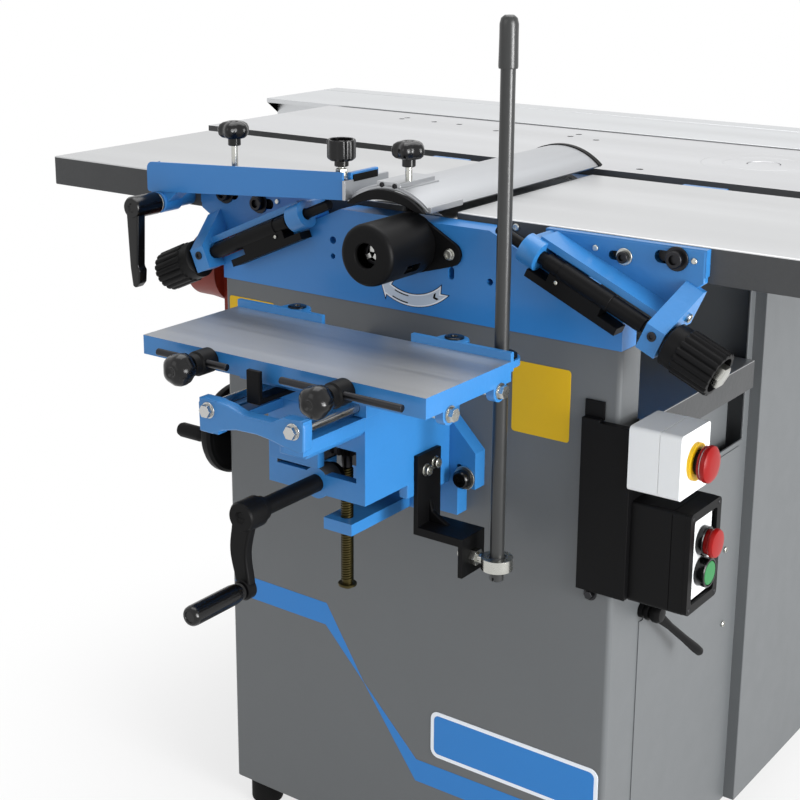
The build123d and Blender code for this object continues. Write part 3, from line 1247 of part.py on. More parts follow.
def push_button(z):
    """Round push button of the switch box."""
    return rod_x(SW_BUTTON_R, SW_X1 - SW_BUTTON_DEEP, SW_X1 + SW_PLATE_T + SW_BUTTON_OUT, SW_Y, z)


def saw_table():
    """Cast table of the saw and spindle moulder, pocketed below, with a seat for the rings."""
    table = block(SAW_TABLE_LEFT, SAW_TABLE_RIGHT, SAW_FRONT, SAW_EDGE, SAW_LOW, TABLE_TOP)
    ribs = (SAW_TABLE_LEFT, CAB_LEFT, SAW_CAB_RIGHT, SAW_TABLE_RIGHT)
    for left, right in zip(ribs, ribs[1:]):
        table -= block(left + SAW_TABLE_RIM, right - SAW_TABLE_RIM, SAW_FRONT + SAW_TABLE_RIM,
                       SAW_EDGE - SAW_TABLE_RIM, SAW_LOW - SHEET, TABLE_TOP - SAW_TABLE_SKIN)
    table += rod_z(RING_OUT_R + RING_SEAT_WALL, SAW_LOW, TABLE_TOP, SPINDLE_X, SPINDLE_Y)
    table -= rod_z(RING_OUT_R, TABLE_TOP - RING_TH, TABLE_TOP + SHEET, SPINDLE_X, SPINDLE_Y)
    table -= rod_z(RING_OUT_R - RING_STEP, SAW_LOW - SHEET, TABLE_TOP, SPINDLE_X, SPINDLE_Y)
    for x, y in SAW_SIDE_HOLES:
        table -= rod_z(SAW_SIDE_HOLE_R, SAW_LOW - SHEET, TABLE_TOP + SHEET, x, SAW_FRONT + y)
    return table


def spindle_rings():
    """Two insert rings round the spindle, the inner one on a step of the outer."""
    z0 = TABLE_TOP - RING_TH
    outer = rod_z(RING_OUT_R - FIT, z0, TABLE_TOP, SPINDLE_X, SPINDLE_Y)
    outer -= rod_z(RING_IN_R - RING_STEP, z0 - SHEET, TABLE_TOP, SPINDLE_X, SPINDLE_Y)
    outer -= rod_z(RING_IN_R, z0 + RING_TH / 2, TABLE_TOP + SHEET, SPINDLE_X, SPINDLE_Y)
    inner = rod_z(RING_IN_R - FIT, z0 + RING_TH / 2, TABLE_TOP, SPINDLE_X, SPINDLE_Y)
    inner -= rod_z(SPINDLE_R + RING_STEP, z0, TABLE_TOP + SHEET, SPINDLE_X, SPINDLE_Y)
    return [outer, inner]


def slide_rail():
    """Hollow rail on the saw cabinet's back for the sliding table."""
    z1 = TABLE_TOP - SLIDER_T - SLIDER_BEAM_H - SLIDE
    rail = block(RAIL_LEFT, RAIL_RIGHT, SAW_REAR, SAW_REAR + RAIL_W, z1 - RAIL_H, z1)
    return rail - block(RAIL_LEFT - SHEET, RAIL_RIGHT + SHEET, SAW_REAR + RAIL_WALL,
                        SAW_REAR + RAIL_W - RAIL_WALL, z1 - RAIL_H + RAIL_WALL, z1 - RAIL_WALL)


def sliding_table():
    """Sliding table: a thin plate on a hollow beam."""
    plate_low = TABLE_TOP - SLIDER_T
    table = block(SLIDER_LEFT, SLIDER_RIGHT, SLIDER_FRONT, SLIDER_FRONT + SLIDER_W, plate_low,
                  TABLE_TOP)
    y0 = SLIDER_FRONT + SLIDER_BEAM_IN
    beam = block(SLIDER_LEFT, SLIDER_RIGHT, y0, y0 + SLIDER_BEAM_W, plate_low - SLIDER_BEAM_H,
                 plate_low)
    beam -= block(SLIDER_LEFT - SHEET, SLIDER_RIGHT + SHEET, y0 + SLIDER_WALL,
                  y0 + SLIDER_BEAM_W - SLIDER_WALL, plate_low - SLIDER_BEAM_H + SLIDER_WALL,
                  plate_low)
    return table + beam


def saw_unit():
    """Lifting unit of the saw: block on two posts, arbor housing and motor."""
    half = POST_HALF + POST_R + SAW_BLOCK_WALL
    y0 = SAW_POST_Y - SAW_BLOCK_T / 2
    y1 = SAW_POST_Y + SAW_BLOCK_T / 2
    z1 = BLADE_Z - ARBOR_FLANGE_R
    unit = block(BLADE_X - half, BLADE_X + half, y0, y1, z1 - SAW_BLOCK_H, z1)
    unit += block(BLADE_X - ARBOR_HOUSING_R, BLADE_X + ARBOR_HOUSING_R, y0, y1,
                  z1 - ARBOR_HOUSING_R, BLADE_Z)
    unit += rod_y(ARBOR_HOUSING_R, y0, BLADE_Y - 2 * ARBOR_FLANGE_T - SLIDE, BLADE_X, BLADE_Z)
    unit += rod_y(SAW_MOTOR_R, y0 - SAW_MOTOR_LEN, y0, BLADE_X, BLADE_Z - SAW_MOTOR_DROP)
    unit -= rod_y(ARBOR_R + FIT, y0 - SHEET, BLADE_Y, BLADE_X, BLADE_Z)
    for side in (-1, 1):
        unit -= rod_z(POST_R + FIT, z1 - 2 * SAW_BLOCK_H, z1 + SHEET,
                      BLADE_X + side * POST_HALF, SAW_POST_Y)
    return unit


def saw_blade():
    """Circular saw blade, and the arbor with its two flanges."""
    points = []
    for k in range(BLADE_TEETH):
        for step, radius in ((0.0, BLADE_R), (0.6, BLADE_R - TOOTH_H)):
            angle = 2 * pi * (k + step) / BLADE_TEETH
            points.append((BLADE_X + radius * sin(angle), BLADE_Z + radius * cos(angle)))
    y0 = BLADE_Y - BLADE_T / 2
    y1 = BLADE_Y + BLADE_T / 2
    blade = plate_xz(points, y0, y1)
    blade -= rod_y(ARBOR_R + FIT, y0 - SHEET, y1 + SHEET, BLADE_X, BLADE_Z)
    arbor = rod_y(ARBOR_R, SAW_POST_Y - SAW_BLOCK_T / 2, y1 + ARBOR_FLANGE_T, BLADE_X, BLADE_Z)
    arbor += rod_y(ARBOR_FLANGE_R, y0 - ARBOR_FLANGE_T, y0, BLADE_X, BLADE_Z)
    arbor += rod_y(ARBOR_FLANGE_R, y1, y1 + ARBOR_FLANGE_T, BLADE_X, BLADE_Z)
    return [blade, arbor]


def spindle_unit():
    """Lifting unit of the spindle: quill between two posts, and its motor."""
    half = POST_HALF + POST_R + SAW_BLOCK_WALL / 2
    z1 = TABLE_TOP - QUILL_BELOW
    z0 = z1 - QUILL_LEN
    unit = block(SPINDLE_X - half, SPINDLE_X + half, SPINDLE_POST_Y - 2 * POST_R,
                 SPINDLE_POST_Y + 2 * POST_R, z0, z1 - QUILL_LEN / 4)
    unit += rod_z(QUILL_R, z0, z1, SPINDLE_X, SPINDLE_Y)
    motor_y = SPINDLE_POST_Y - 2 * POST_R - SPINDLE_MOTOR_R + SAW_BLOCK_WALL
    unit += rod_z(SPINDLE_MOTOR_R, z0, z1 - QUILL_LEN / 4, SPINDLE_X, motor_y)
    unit -= rod_z(SPINDLE_R + FIT, z0 - SHEET, z1 + SHEET, SPINDLE_X, SPINDLE_Y)
    for side in (-1, 1):
        unit -= rod_z(POST_R + FIT, z0 - SHEET, z1 + SHEET, SPINDLE_X + side * POST_HALF,
                      SPINDLE_POST_Y)
    return unit


def spindle_shaft():
    """Spindle with its pulley under the quill."""
    low = SPINDLE_Z - SPINDLE_LEN
    shaft = rod_z(SPINDLE_R, low, SPINDLE_Z, SPINDLE_X, SPINDLE_Y)
    under = TABLE_TOP - QUILL_BELOW - QUILL_LEN - SLIDE
    return shaft + rod_z(2 * SPINDLE_R, low, under, SPINDLE_X, SPINDLE_Y)


def planer_motor():
    """Motor of the planer on the floor of its cabinet."""
    floor = FOOT_H + SHEET
    y0 = (CAB_REAR - MOTOR_LEN) / 2
    y1 = y0 + MOTOR_LEN
    motor = rod_y(MOTOR_R, y0, y1, MOTOR_X, floor + MOTOR_RISE)
    motor += block(MOTOR_X - MOTOR_FOOT_HALF, MOTOR_X + MOTOR_FOOT_HALF, y0 + MOTOR_FOOT_T,
                   y1 - MOTOR_FOOT_T, floor, floor + MOTOR_RISE)
    return motor


def build():
    """All pieces by name, in the layout frame."""
    return {
        "planer_cabinet": planer_cabinet(),
        "saw_cabinet": saw_cabinet(),
        "machine_feet": machine_feet(),
        "planer_housing": planer_housing(),
        "rod_guides": rod_guides(),
        "chuck_cover": chuck_cover(),
        "cutterblock": cutterblock(),
        "planer_knives": planer_knives(),
        "mortise_chuck": mortise_chuck(),
        "infeed_table": mirror_x(table_blank()),
        "infeed_bracket": infeed_bracket(),
        "infeed_adjuster": mirror_x(adjuster_blank(INFEED_IN)),
        "outfeed_table": table_blank(),
        "outfeed_bracket": [bracket_blank(0), shoe_blank()],
        "outfeed_adjuster": adjuster_blank(0),
        "guard_arm": guard_arm(),
        "guard_beam": guard_beam(),
        "guard_end_caps": guard_end_caps(),
        "arm_star_knob": arm_star_knob(),
        "beam_star_knob": beam_star_knob(),
        "cup_knob": cup_knob(),
        "clamp_lever": clamp_lever(),
        "thicknesser_bed": thicknesser_bed(),
        "chip_hood": chip_hood(),
        "bed_handwheel": bed_handwheel(),
        "bed_lock_lever": bed_lock_lever(),
        "planer_motor": planer_motor(),
        "mortiser_slideway": mortiser_slideway(),
        "slideway_lock": slideway_lock(),
        "knee_casting": knee_casting(),
        "cross_rods": cross_rods(),
        "cross_carriage": cross_carriage(),
        "stop_bracket": stop_bracket(),
        "mortise_table": mortise_table(),
        "table_rods": table_rods(),
        "left_stop_rod": stop_rod(LEFT_ROD),
        "right_stop_rod": stop_rod(RIGHT_ROD),
        "left_stop_knob": stop_knob(-STOP_X),
        "right_stop_knob": stop_knob(STOP_X),
        "lever_bracket": lever_bracket(),
        "rod_end": rod_end(),
        "ball_race": ball_race(),
        "control_lever": control_lever(),
        "lift_crank": lift_crank(),
        "crank_grip": crank_grip(),
        "lift_screw": lift_screw(),
        "control_bracket": control_bracket(),
        "estop_box": estop_box(),
        "estop_button": estop_button(),
        "switch_box": switch_box(),
        "stop_button": push_button(STOP_BUTTON_Z),
        "start_button": push_button(START_BUTTON_Z),
        "saw_table": saw_table(),
        "spindle_rings": spindle_rings(),
        "slide_rail": slide_rail(),
        "sliding_table": sliding_table(),
        "saw_unit": saw_unit(),
        "saw_blade": saw_blade(),
        "spindle_unit": spindle_unit(),
        "spindle_shaft": spindle_shaft(),
    }


def as_solids(piece):
    """The solids of one piece or of a group of pieces."""
    group = piece if isinstance(piece, list) else [piece]
    return [solid for shape in group for solid in shape.solids()]


PIECES = {name: Compound(as_solids(piece)) for name, piece in build().items()}
EXTENT = Compound(list(PIECES.values())).bounding_box()
ORIGIN = Pos(-EXTENT.center().X, -EXTENT.center().Y, -EXTENT.min.Z)

os.makedirs("parts", exist_ok=True)
for name, piece in PIECES.items():
    export_step(ORIGIN * piece, f"parts/{name}.step")
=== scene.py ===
"""Looks of the combination woodworking machine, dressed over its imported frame."""
import json
from math import atan2, cos, pi, radians, sin, sqrt

import bmesh
import bpy
from mathutils import Matrix, Vector


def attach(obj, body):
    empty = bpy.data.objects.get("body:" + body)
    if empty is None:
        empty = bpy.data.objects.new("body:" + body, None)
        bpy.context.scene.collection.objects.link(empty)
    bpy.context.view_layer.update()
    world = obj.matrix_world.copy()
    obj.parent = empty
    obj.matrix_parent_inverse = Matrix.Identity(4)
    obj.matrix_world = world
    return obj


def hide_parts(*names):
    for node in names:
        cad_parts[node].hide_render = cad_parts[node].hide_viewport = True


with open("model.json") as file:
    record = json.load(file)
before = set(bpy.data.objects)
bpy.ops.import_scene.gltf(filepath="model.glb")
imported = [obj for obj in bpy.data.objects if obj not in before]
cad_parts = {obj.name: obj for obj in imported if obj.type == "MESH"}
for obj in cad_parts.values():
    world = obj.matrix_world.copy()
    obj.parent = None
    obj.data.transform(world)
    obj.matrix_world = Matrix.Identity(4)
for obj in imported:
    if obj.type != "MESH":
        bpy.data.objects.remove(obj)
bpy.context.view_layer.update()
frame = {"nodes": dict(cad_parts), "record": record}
nodes = frame["nodes"]
body_of_node = {n: b for b, names in frame["record"]["behaviour"]["bodies"].items() for n in names}
scene = bpy.context.scene

# Details are in millimetres: X = 0 on the cutter's axis, Y = 0 on the cabinet's front, Z = 0 on the floor
TO_FRAME = Matrix.Translation((0.1, -0.27385, 0)) @ Matrix.Scale(0.001, 4)

# Turns that point a shape's own Z another way; its X and Y then lie along X and Z, or along Y and Z
FRONT = Matrix.Rotation(pi / 2, 4, "X")
RIGHT = Matrix(((0, 0, 1, 0), (1, 0, 0, 0), (0, 1, 0, 0), (0, 0, 0, 1)))
LEFT = Matrix(((0, 0, -1, 0), (-1, 0, 0, 0), (0, 1, 0, 0), (0, 0, 0, 1)))
UP = Matrix.Identity(4)


def srgb(r, g, b):
    """Linear colour of an 8-bit one."""
    return tuple(c / 12.92 if c <= 0.04045 else ((c + 0.055) / 1.055) ** 2.4
                 for c in (r / 255, g / 255, b / 255)) + (1.0,)


def new_group(name, inputs, outputs):
    """Empty shader group with named sockets; returns it with its input and output nodes."""
    group = bpy.data.node_groups.new(name, "ShaderNodeTree")
    for label, kind, value in inputs:
        socket = group.interface.new_socket(label, in_out="INPUT", socket_type=kind)
        if value is not None:
            socket.default_value = value
    for label, kind in outputs:
        group.interface.new_socket(label, in_out="OUTPUT", socket_type=kind)
    return group, group.nodes.new("NodeGroupInput"), group.nodes.new("NodeGroupOutput")


def math_node(tree, operation, a, b=0.0, c=0.0):
    """Math node on sockets or numbers; returns its output."""
    node = tree.nodes.new("ShaderNodeMath")
    node.operation = operation
    for socket, value in zip(node.inputs, (a, b, c)):
        if isinstance(value, (int, float)):
            socket.default_value = value
        else:
            tree.links.new(value, socket)
    return node.outputs[0]


def noise_node(tree, vector, scale, detail=2.0, roughness=0.5):
    """Noise texture on a vector; returns its value output."""
    node = tree.nodes.new("ShaderNodeTexNoise")
    node.inputs["Detail"].default_value = detail
    node.inputs["Roughness"].default_value = roughness
    tree.links.new(vector, node.inputs["Vector"])
    if isinstance(scale, (int, float)):
        node.inputs["Scale"].default_value = scale
    else:
        tree.links.new(scale, node.inputs["Scale"])
    return node.outputs["Fac"]


def scaled_colour(tree, colour, factor):
    """Colour times a value; returns the output."""
    node = tree.nodes.new("ShaderNodeVectorMath")
    node.operation = "SCALE"
    tree.links.new(colour, node.inputs[0])
    tree.links.new(factor, node.inputs["Scale"])
    return node.outputs[0]


def make_coating_group():
    """Paint, powder coat or moulded plastic: soft mottling, uneven sheen and a fine grain."""
    group, given, out = new_group(
        "coating", (("Vector", "NodeSocketVector", None), ("Colour", "NodeSocketColor", None),
                    ("Mottle", "NodeSocketFloat", 0.06), ("Grain", "NodeSocketFloat", 900.0),
                    ("Gloss", "NodeSocketFloat", 0.4), ("Spread", "NodeSocketFloat", 0.08)),
        (("Colour", "NodeSocketColor"), ("Roughness", "NodeSocketFloat"), ("Height", "NodeSocketFloat")))
    vector = given.outputs["Vector"]
    broad = noise_node(group, vector, 7.0, 3.0)
    fine = noise_node(group, vector, 160.0, 2.0)
    shade = math_node(group, "ADD", math_node(group, "MULTIPLY", broad, 1.3),
                      math_node(group, "MULTIPLY", fine, 0.7))
    shade = math_node(group, "MULTIPLY_ADD", math_node(group, "SUBTRACT", shade, 1.0),
                      given.outputs["Mottle"], 1.0)
    group.links.new(scaled_colour(group, given.outputs["Colour"], shade), out.inputs["Colour"])
    sheen = math_node(group, "SUBTRACT", noise_node(group, vector, 30.0, 4.0), 0.5)
    rough = math_node(group, "MULTIPLY_ADD", sheen, given.outputs["Spread"], given.outputs["Gloss"])
    group.links.new(rough, out.inputs["Roughness"])
    group.links.new(noise_node(group, vector, given.outputs["Grain"], 2.0), out.inputs["Height"])
    return group


def make_machined_group():
    """Ground, brushed or turned metal: streaks along one direction over soft bands."""
    group, given, out = new_group(
        "machined", (("Vector", "NodeSocketVector", None), ("Colour", "NodeSocketColor", None),
                     ("Streaks", "NodeSocketVector", (4.0, 700.0, 700.0)),
                     ("Bands", "NodeSocketVector", (0.6, 16.0, 16.0)),
                     ("Depth", "NodeSocketFloat", 0.12), ("Gloss", "NodeSocketFloat", 0.3)),
        (("Colour", "NodeSocketColor"), ("Roughness", "NodeSocketFloat"), ("Height", "NodeSocketFloat")))
    values = []
    for label, detail in (("Streaks", 3.0), ("Bands", 2.0)):
        stretch = group.nodes.new("ShaderNodeVectorMath")
        stretch.operation = "MULTIPLY"
        group.links.new(given.outputs["Vector"], stretch.inputs[0])
        group.links.new(given.outputs[label], stretch.inputs[1])
        values.append(noise_node(group, stretch.outputs[0], 1.0, detail))
    streak, band = values
    both = math_node(group, "MULTIPLY_ADD", streak, 0.6, math_node(group, "MULTIPLY", band, 1.4))
    shade = math_node(group, "MULTIPLY_ADD", math_node(group, "SUBTRACT", both, 1.0),
                      given.outputs["Depth"], 1.0)
    group.links.new(scaled_colour(group, given.outputs["Colour"], shade), out.inputs["Colour"])
    sheen = math_node(group, "MULTIPLY_ADD", math_node(group, "SUBTRACT", both, 1.0), 0.16,
                      given.outputs["Gloss"])
    group.links.new(sheen, out.inputs["Roughness"])
    group.links.new(streak, out.inputs["Height"])
    return group


COATING = make_coating_group()
MACHINED = make_machined_group()


def new_material(name, group, values, relief, metallic=0.0, coat=0.0, specular=0.5):
    """Principled material fed by one of the groups on Object coordinates."""
    material = bpy.data.materials.new(name)
    material.use_nodes = True
    tree = material.node_tree
    shader = tree.nodes["Principled BSDF"]
    shader.inputs["Metallic"].default_value = metallic
    shader.inputs["Coat Weight"].default_value = coat
    shader.inputs["Coat Roughness"].default_value = 0.12
    shader.inputs["Specular IOR Level"].default_value = specular
    look = tree.nodes.new("ShaderNodeGroup")
    look.node_tree = group
    for label, value in values.items():
        look.inputs[label].default_value = value
    place = tree.nodes.new("ShaderNodeTexCoord")
    tree.links.new(place.outputs["Object"], look.inputs["Vector"])
    tree.links.new(look.outputs["Colour"], shader.inputs["Base Color"])
    tree.links.new(look.outputs["Roughness"], shader.inputs["Roughness"])
    bump = tree.nodes.new("ShaderNodeBump")
    bump.inputs["Strength"].default_value = relief[0]
    bump.inputs["Distance"].default_value = relief[1]
    tree.links.new(look.outputs["Height"], bump.inputs["Height"])
    tree.links.new(bump.outputs["Normal"], shader.inputs["Normal"])
    return material


def coated(name, colour, gloss, grain=900.0, mottle=0.06, spread=0.1, relief=(0.25, 0.0001), coat=0.0,
           specular=0.5):
    """Painted or plastic finish."""
    values = {"Colour": srgb(*colour), "Gloss": gloss, "Grain": grain, "Mottle": mottle, "Spread": spread}
    return new_material(name, COATING, values, relief, 0.0, coat, specular)


def machined(name, colour, gloss, streaks, bands, depth=0.12, relief=(0.15, 0.00005)):
    """Bare metal finish."""
    values = {"Colour": srgb(*colour), "Gloss": gloss, "Streaks": streaks, "Bands": bands, "Depth": depth}
    return new_material(name, MACHINED, values, relief, 1.0)


grey_powder = coated("grey_powder", (90, 93, 95), 0.46, 700.0, 0.05, 0.12, (0.2, 0.00012))
blue_sheet = coated("blue_sheet", (41, 117, 185), 0.38, 420.0, 0.05, 0.10, (0.15, 0.0002), 0.1)
blue_cast = coated("blue_cast", (45, 116, 178), 0.36, 110.0, 0.08, 0.14, (0.3, 0.0008), 0.1)
blue_print = coated("blue_print", (14, 114, 188), 0.40, 600.0, 0.03, 0.06, (0.08, 0.0001))
black_powder = coated("black_powder", (11, 11, 12), 0.42, 800.0, 0.12, 0.14, (0.3, 0.00012),
                      specular=0.10)
black_moulded = coated("black_moulded", (9, 9, 10), 0.46, 1200.0, 0.10, 0.12, specular=0.12)
black_gloss = coated("black_gloss", (6, 6, 7), 0.22, 300.0, 0.10, 0.10, (0.06, 0.0001), 0.1,
                     specular=0.3)
rubber_black = coated("rubber_black", (10, 10, 10), 0.75, 500.0, 0.15, 0.10, (0.3, 0.0002),
                      specular=0.15)
lever_satin = coated("lever_satin", (40, 41, 41), 0.30, 300.0, 0.10, 0.12, (0.1, 0.0001),
                     specular=0.5)
red_sheet = coated("red_sheet", (122, 36, 22), 0.42, 420.0, 0.07, 0.10, (0.15, 0.0002),
                   specular=0.25)
cast_dark = coated("cast_dark", (66, 67, 68), 0.55, 160.0, 0.16, 0.14, (0.45, 0.0007),
                   specular=0.3)
white_moulded = coated("white_moulded", (212, 214, 215), 0.40, 900.0, 0.02, 0.08,
                       (0.1, 0.0001))
red_moulded = coated("red_moulded", (130, 7, 6), 0.38, 400.0, 0.06, 0.08, (0.06, 0.0001),
                     specular=0.22)
green_moulded = coated("green_moulded", (20, 108, 52), 0.34, 400.0, 0.06, 0.08,
                       (0.06, 0.0001), specular=0.3)
yellow_print = coated("yellow_print", (214, 172, 18), 0.45, 600.0, 0.03, 0.06, (0.08, 0.0001),
                      specular=0.3)
pale_print = coated("pale_print", (226, 231, 238), 0.45, 600.0, 0.03, 0.06, (0.05, 0.0001))
mid_print = coated("mid_print", (186, 198, 212), 0.45, 600.0, 0.03, 0.06, (0.05, 0.0001))
ground_iron = machined("ground_iron", (190, 191, 192), 0.36, (5.0, 800.0, 800.0),
                       (0.8, 14.0, 14.0), 0.10)
ground_saw = machined("ground_saw", (196, 197, 199), 0.36, (5.0, 800.0, 800.0),
                      (0.7, 12.0, 12.0), 0.08)
bright_steel = machined("bright_steel", (190, 190, 188), 0.24, (60.0, 60.0, 60.0),
                        (12.0, 12.0, 12.0), 0.10)
zinc_plate = machined("zinc_plate", (188, 188, 182), 0.28, (90.0, 90.0, 90.0),
                      (25.0, 25.0, 25.0), 0.16)
black_steel = machined("black_steel", (52, 52, 54), 0.36, (120.0, 120.0, 120.0),
                       (20.0, 20.0, 20.0), 0.25)
dark_brass = machined("dark_brass", (70, 63, 38), 0.42, (80.0, 80.0, 400.0),
                      (20.0, 20.0, 20.0), 0.22)
beam_alu = machined("beam_alu", (170, 172, 175), 0.42, (900.0, 6.0, 900.0),
                    (30.0, 0.8, 30.0), 0.10)
slider_alu = machined("slider_alu", (200, 202, 204), 0.36, (6.0, 900.0, 900.0),
                      (0.8, 20.0, 20.0), 0.08)


def soften(bm, width, steps=2, angle=28.0):
    """Rounds every edge sharper than the angle."""
    bm.normal_update()
    sharp = [e for e in bm.edges if e.is_manifold and e.calc_face_angle(0.0) > radians(angle)]
    bmesh.ops.bevel(bm, geom=sharp, offset=width, offset_type="OFFSET", segments=steps, profile=0.5,
                    affect="EDGES", clamp_overlap=True, material=-1, loop_slide=True)
    return bm


def at(x, y, z, turn=UP):
    """Place and direction of a shape."""
    return Matrix.Translation((x, y, z)) @ turn


def moved(bm, matrix):
    """The shape at another place; a mirrored one keeps its faces outwards."""
    bmesh.ops.transform(bm, matrix=matrix, verts=bm.verts)
    if matrix.determinant() < 0:
        bmesh.ops.reverse_faces(bm, faces=bm.faces)
    return bm


def joined(*shapes):
    """One shape made of several."""
    whole = bmesh.new()
    for shape in shapes:
        mesh = bpy.data.meshes.new("shape")
        shape.to_mesh(mesh)
        shape.free()
        whole.from_mesh(mesh)
        bpy.data.meshes.remove(mesh)
    return whole


def cut_away(bm, tool):
    """The first shape less the second."""
    holders = []
    for shape in (bm, tool):
        mesh = bpy.data.meshes.new("shape")
        shape.to_mesh(mesh)
        shape.free()
        holders.append(bpy.data.objects.new("shape", mesh))
        scene.collection.objects.link(holders[-1])
    cut = holders[0].modifiers.new("cut", "BOOLEAN")
    cut.operation = "DIFFERENCE"
    cut.solver = "EXACT"
    cut.use_self = True
    cut.object = holders[1]
    rest = bmesh.new()
    rest.from_object(holders[0], bpy.context.evaluated_depsgraph_get())
    for holder in holders:
        bpy.data.meshes.remove(holder.data)
    return rest


def turned(profile, steps=36):
    """Round shape about Z from points of radius and height."""
    bm = bmesh.new()
    points = [bm.verts.new((r, 0, h)) for r, h in profile]
    edges = [bm.edges.new(pair) for pair in zip(points, points[1:])]
    bmesh.ops.spin(bm, geom=points + edges, cent=(0, 0, 0), axis=(0, 0, 1), angle=2 * pi, steps=steps,
                   use_merge=True)
    bmesh.ops.remove_doubles(bm, verts=bm.verts, dist=0.001)
    bmesh.ops.recalc_face_normals(bm, faces=bm.faces)
    return bm


def bar(radius, length, edge=0.6, steps=36):
    """Round bar on Z with broken edges."""
    return turned(((0, 0), (radius - edge, 0), (radius, edge), (radius, length - edge),
                   (radius - edge, length), (0, length)), steps)


def tube(outer, inner, length, edge=0.4, steps=36):
    """Round tube on Z with broken edges."""
    return turned(((inner, 0), (outer - edge, 0), (outer, edge), (outer, length - edge),
                   (outer - edge, length), (inner, length), (inner, 0)), steps)


def outline(points):
    """Closed line through points in X and Y."""
    bm = bmesh.new()
    verts = [bm.verts.new((x, y, 0)) for x, y in points]
    for pair in zip(verts, verts[1:] + verts[:1]):
        bm.edges.new(pair)
    return bm


def lobed_outline(radius, lobes, depth, sharpness=1.0, steps=14):
    """Round line with hollows between its lobes."""
    bm = bmesh.new()
    bmesh.ops.create_circle(bm, segments=lobes * steps, radius=radius)
    for v in bm.verts:
        hollow = 0.5 - 0.5 * cos(lobes * atan2(v.co.y, v.co.x))
        v.co *= 1 - depth * hollow ** sharpness
    return bm


def grown(bm, *sections):
    """Closes a line into a body that rises through heights, each with a scale and, if given, made round."""
    reach = max(v.co.xy.length for v in bm.verts)
    edges, ring, size = list(bm.edges), list(bm.verts), 1.0
    for k, (height, scale, *even) in enumerate(sections):
        if k:
            made = bmesh.ops.extrude_edge_only(bm, edges=edges)["geom"]
            ring = [g for g in made if isinstance(g, bmesh.types.BMVert)]
            edges = [g for g in made if isinstance(g, bmesh.types.BMEdge) and g.is_boundary]
        for v in ring:
            v.co.xy = v.co.xy.normalized() * reach * scale if even else v.co.xy * (scale / size)
            v.co.z = height
        size = scale
    bmesh.ops.holes_fill(bm, edges=bm.edges, sides=0)
    bmesh.ops.recalc_face_normals(bm, faces=bm.faces)
    return bm


def prism(points, depth, edge=0.0, steps=2, angle=28.0):
    """Plate with an outline in X and Y, rising along Z."""
    bm = grown(outline(points), (0, 1), (depth, 1))
    return soften(bm, edge, steps, angle) if edge else bm


def slab(x, y, z, edge=1.0, steps=2):
    """Block between pairs of X, Y and Z with rounded edges."""
    bm = bmesh.new()
    size = Matrix.Diagonal((x[1] - x[0], y[1] - y[0], z[1] - z[0], 1))
    bmesh.ops.create_cube(bm, size=1, matrix=at(sum(x) / 2, sum(y) / 2, sum(z) / 2) @ size)
    return soften(bm, edge, steps) if edge else bm


def arc(x, y, radius, start, end, steps=8):
    """Points of an arc, in degrees."""
    turns = [radians(start + (end - start) * k / steps) for k in range(steps + 1)]
    return [(x + radius * cos(a), y + radius * sin(a)) for a in turns]


def round_plate(width, height, corner, depth, edge=0.0):
    """Plate with round corners, centred on Z."""
    x, y = width / 2 - corner, height / 2 - corner
    points = [p for k, (sx, sy) in enumerate(((1, 1), (-1, 1), (-1, -1), (1, -1)))
              for p in arc(sx * x, sy * y, corner, 90 * k, 90 * k + 90, 6)]
    return prism(points, depth, edge)


def hex_bolt(across, height, washer_r=0.0, washer_t=1.6):
    """Hexagon head on its washer."""
    corner, top = across / sqrt(3), washer_t + height
    head = turned(((0, washer_t), (corner, washer_t), (corner, top - 0.9), (0.86 * corner, top), (0, top)), 6)
    return joined(head, tube(washer_r, 0.6 * corner, washer_t, 0.3)) if washer_r else head


def socket_screw(radius, height, washer_r=0.0, washer_t=1.6):
    """Cap screw with a socket in its head, on its washer."""
    top, floor = washer_t + height, washer_t + 0.45 * height
    head = turned(((0, washer_t), (radius, washer_t), (radius, top - 0.8), (radius - 0.8, top),
                   (0.58 * radius, top), (0.52 * radius, floor), (0, floor)), 24)
    return joined(head, tube(washer_r, 0.6 * radius, washer_t, 0.3)) if washer_r else head


def lobed_knob(radius, height, lobes, depth=0.2, sharpness=1.0):
    """Hand knob with full lobes and a dimple in its end."""
    sections = ((0.0, 0.55), (0.06, 0.78), (0.2, 0.94), (0.42, 1.0), (0.62, 0.99), (0.82, 0.88), (0.94, 0.68),
                (1.0, 0.42, 1), (0.985, 0.30, 1), (0.93, 0.22, 1), (0.9, 0.10, 1))
    ring = lobed_outline(radius, lobes, depth, sharpness)
    return grown(ring, *((h * height, *rest) for h, *rest in sections))


def add_piece(bm, name, body, *finishes, smooth=40.0):
    """Turns a shape in the frame's metres into a piece that rides on a body."""
    mesh = bpy.data.meshes.new(name)
    bm.to_mesh(mesh)
    bm.free()
    for finish in finishes:
        mesh.materials.append(finish)
    mesh.shade_smooth()
    mesh.set_sharp_from_angle(angle=radians(smooth))
    piece = bpy.data.objects.new(name, mesh)
    scene.collection.objects.link(piece)
    even = piece.modifiers.new("even_normals", "WEIGHTED_NORMAL")
    even.keep_sharp = True
    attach(piece, body)
    return piece


def add_detail(bm, name, body, *finishes, smooth=40.0, replaces=()):
    """As add_piece, from a shape in the drawing's millimetres."""
    piece = add_piece(moved(bm, TO_FRAME), name, body, *finishes, smooth=smooth)
    if replaces:
        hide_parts(*replaces)
    return piece


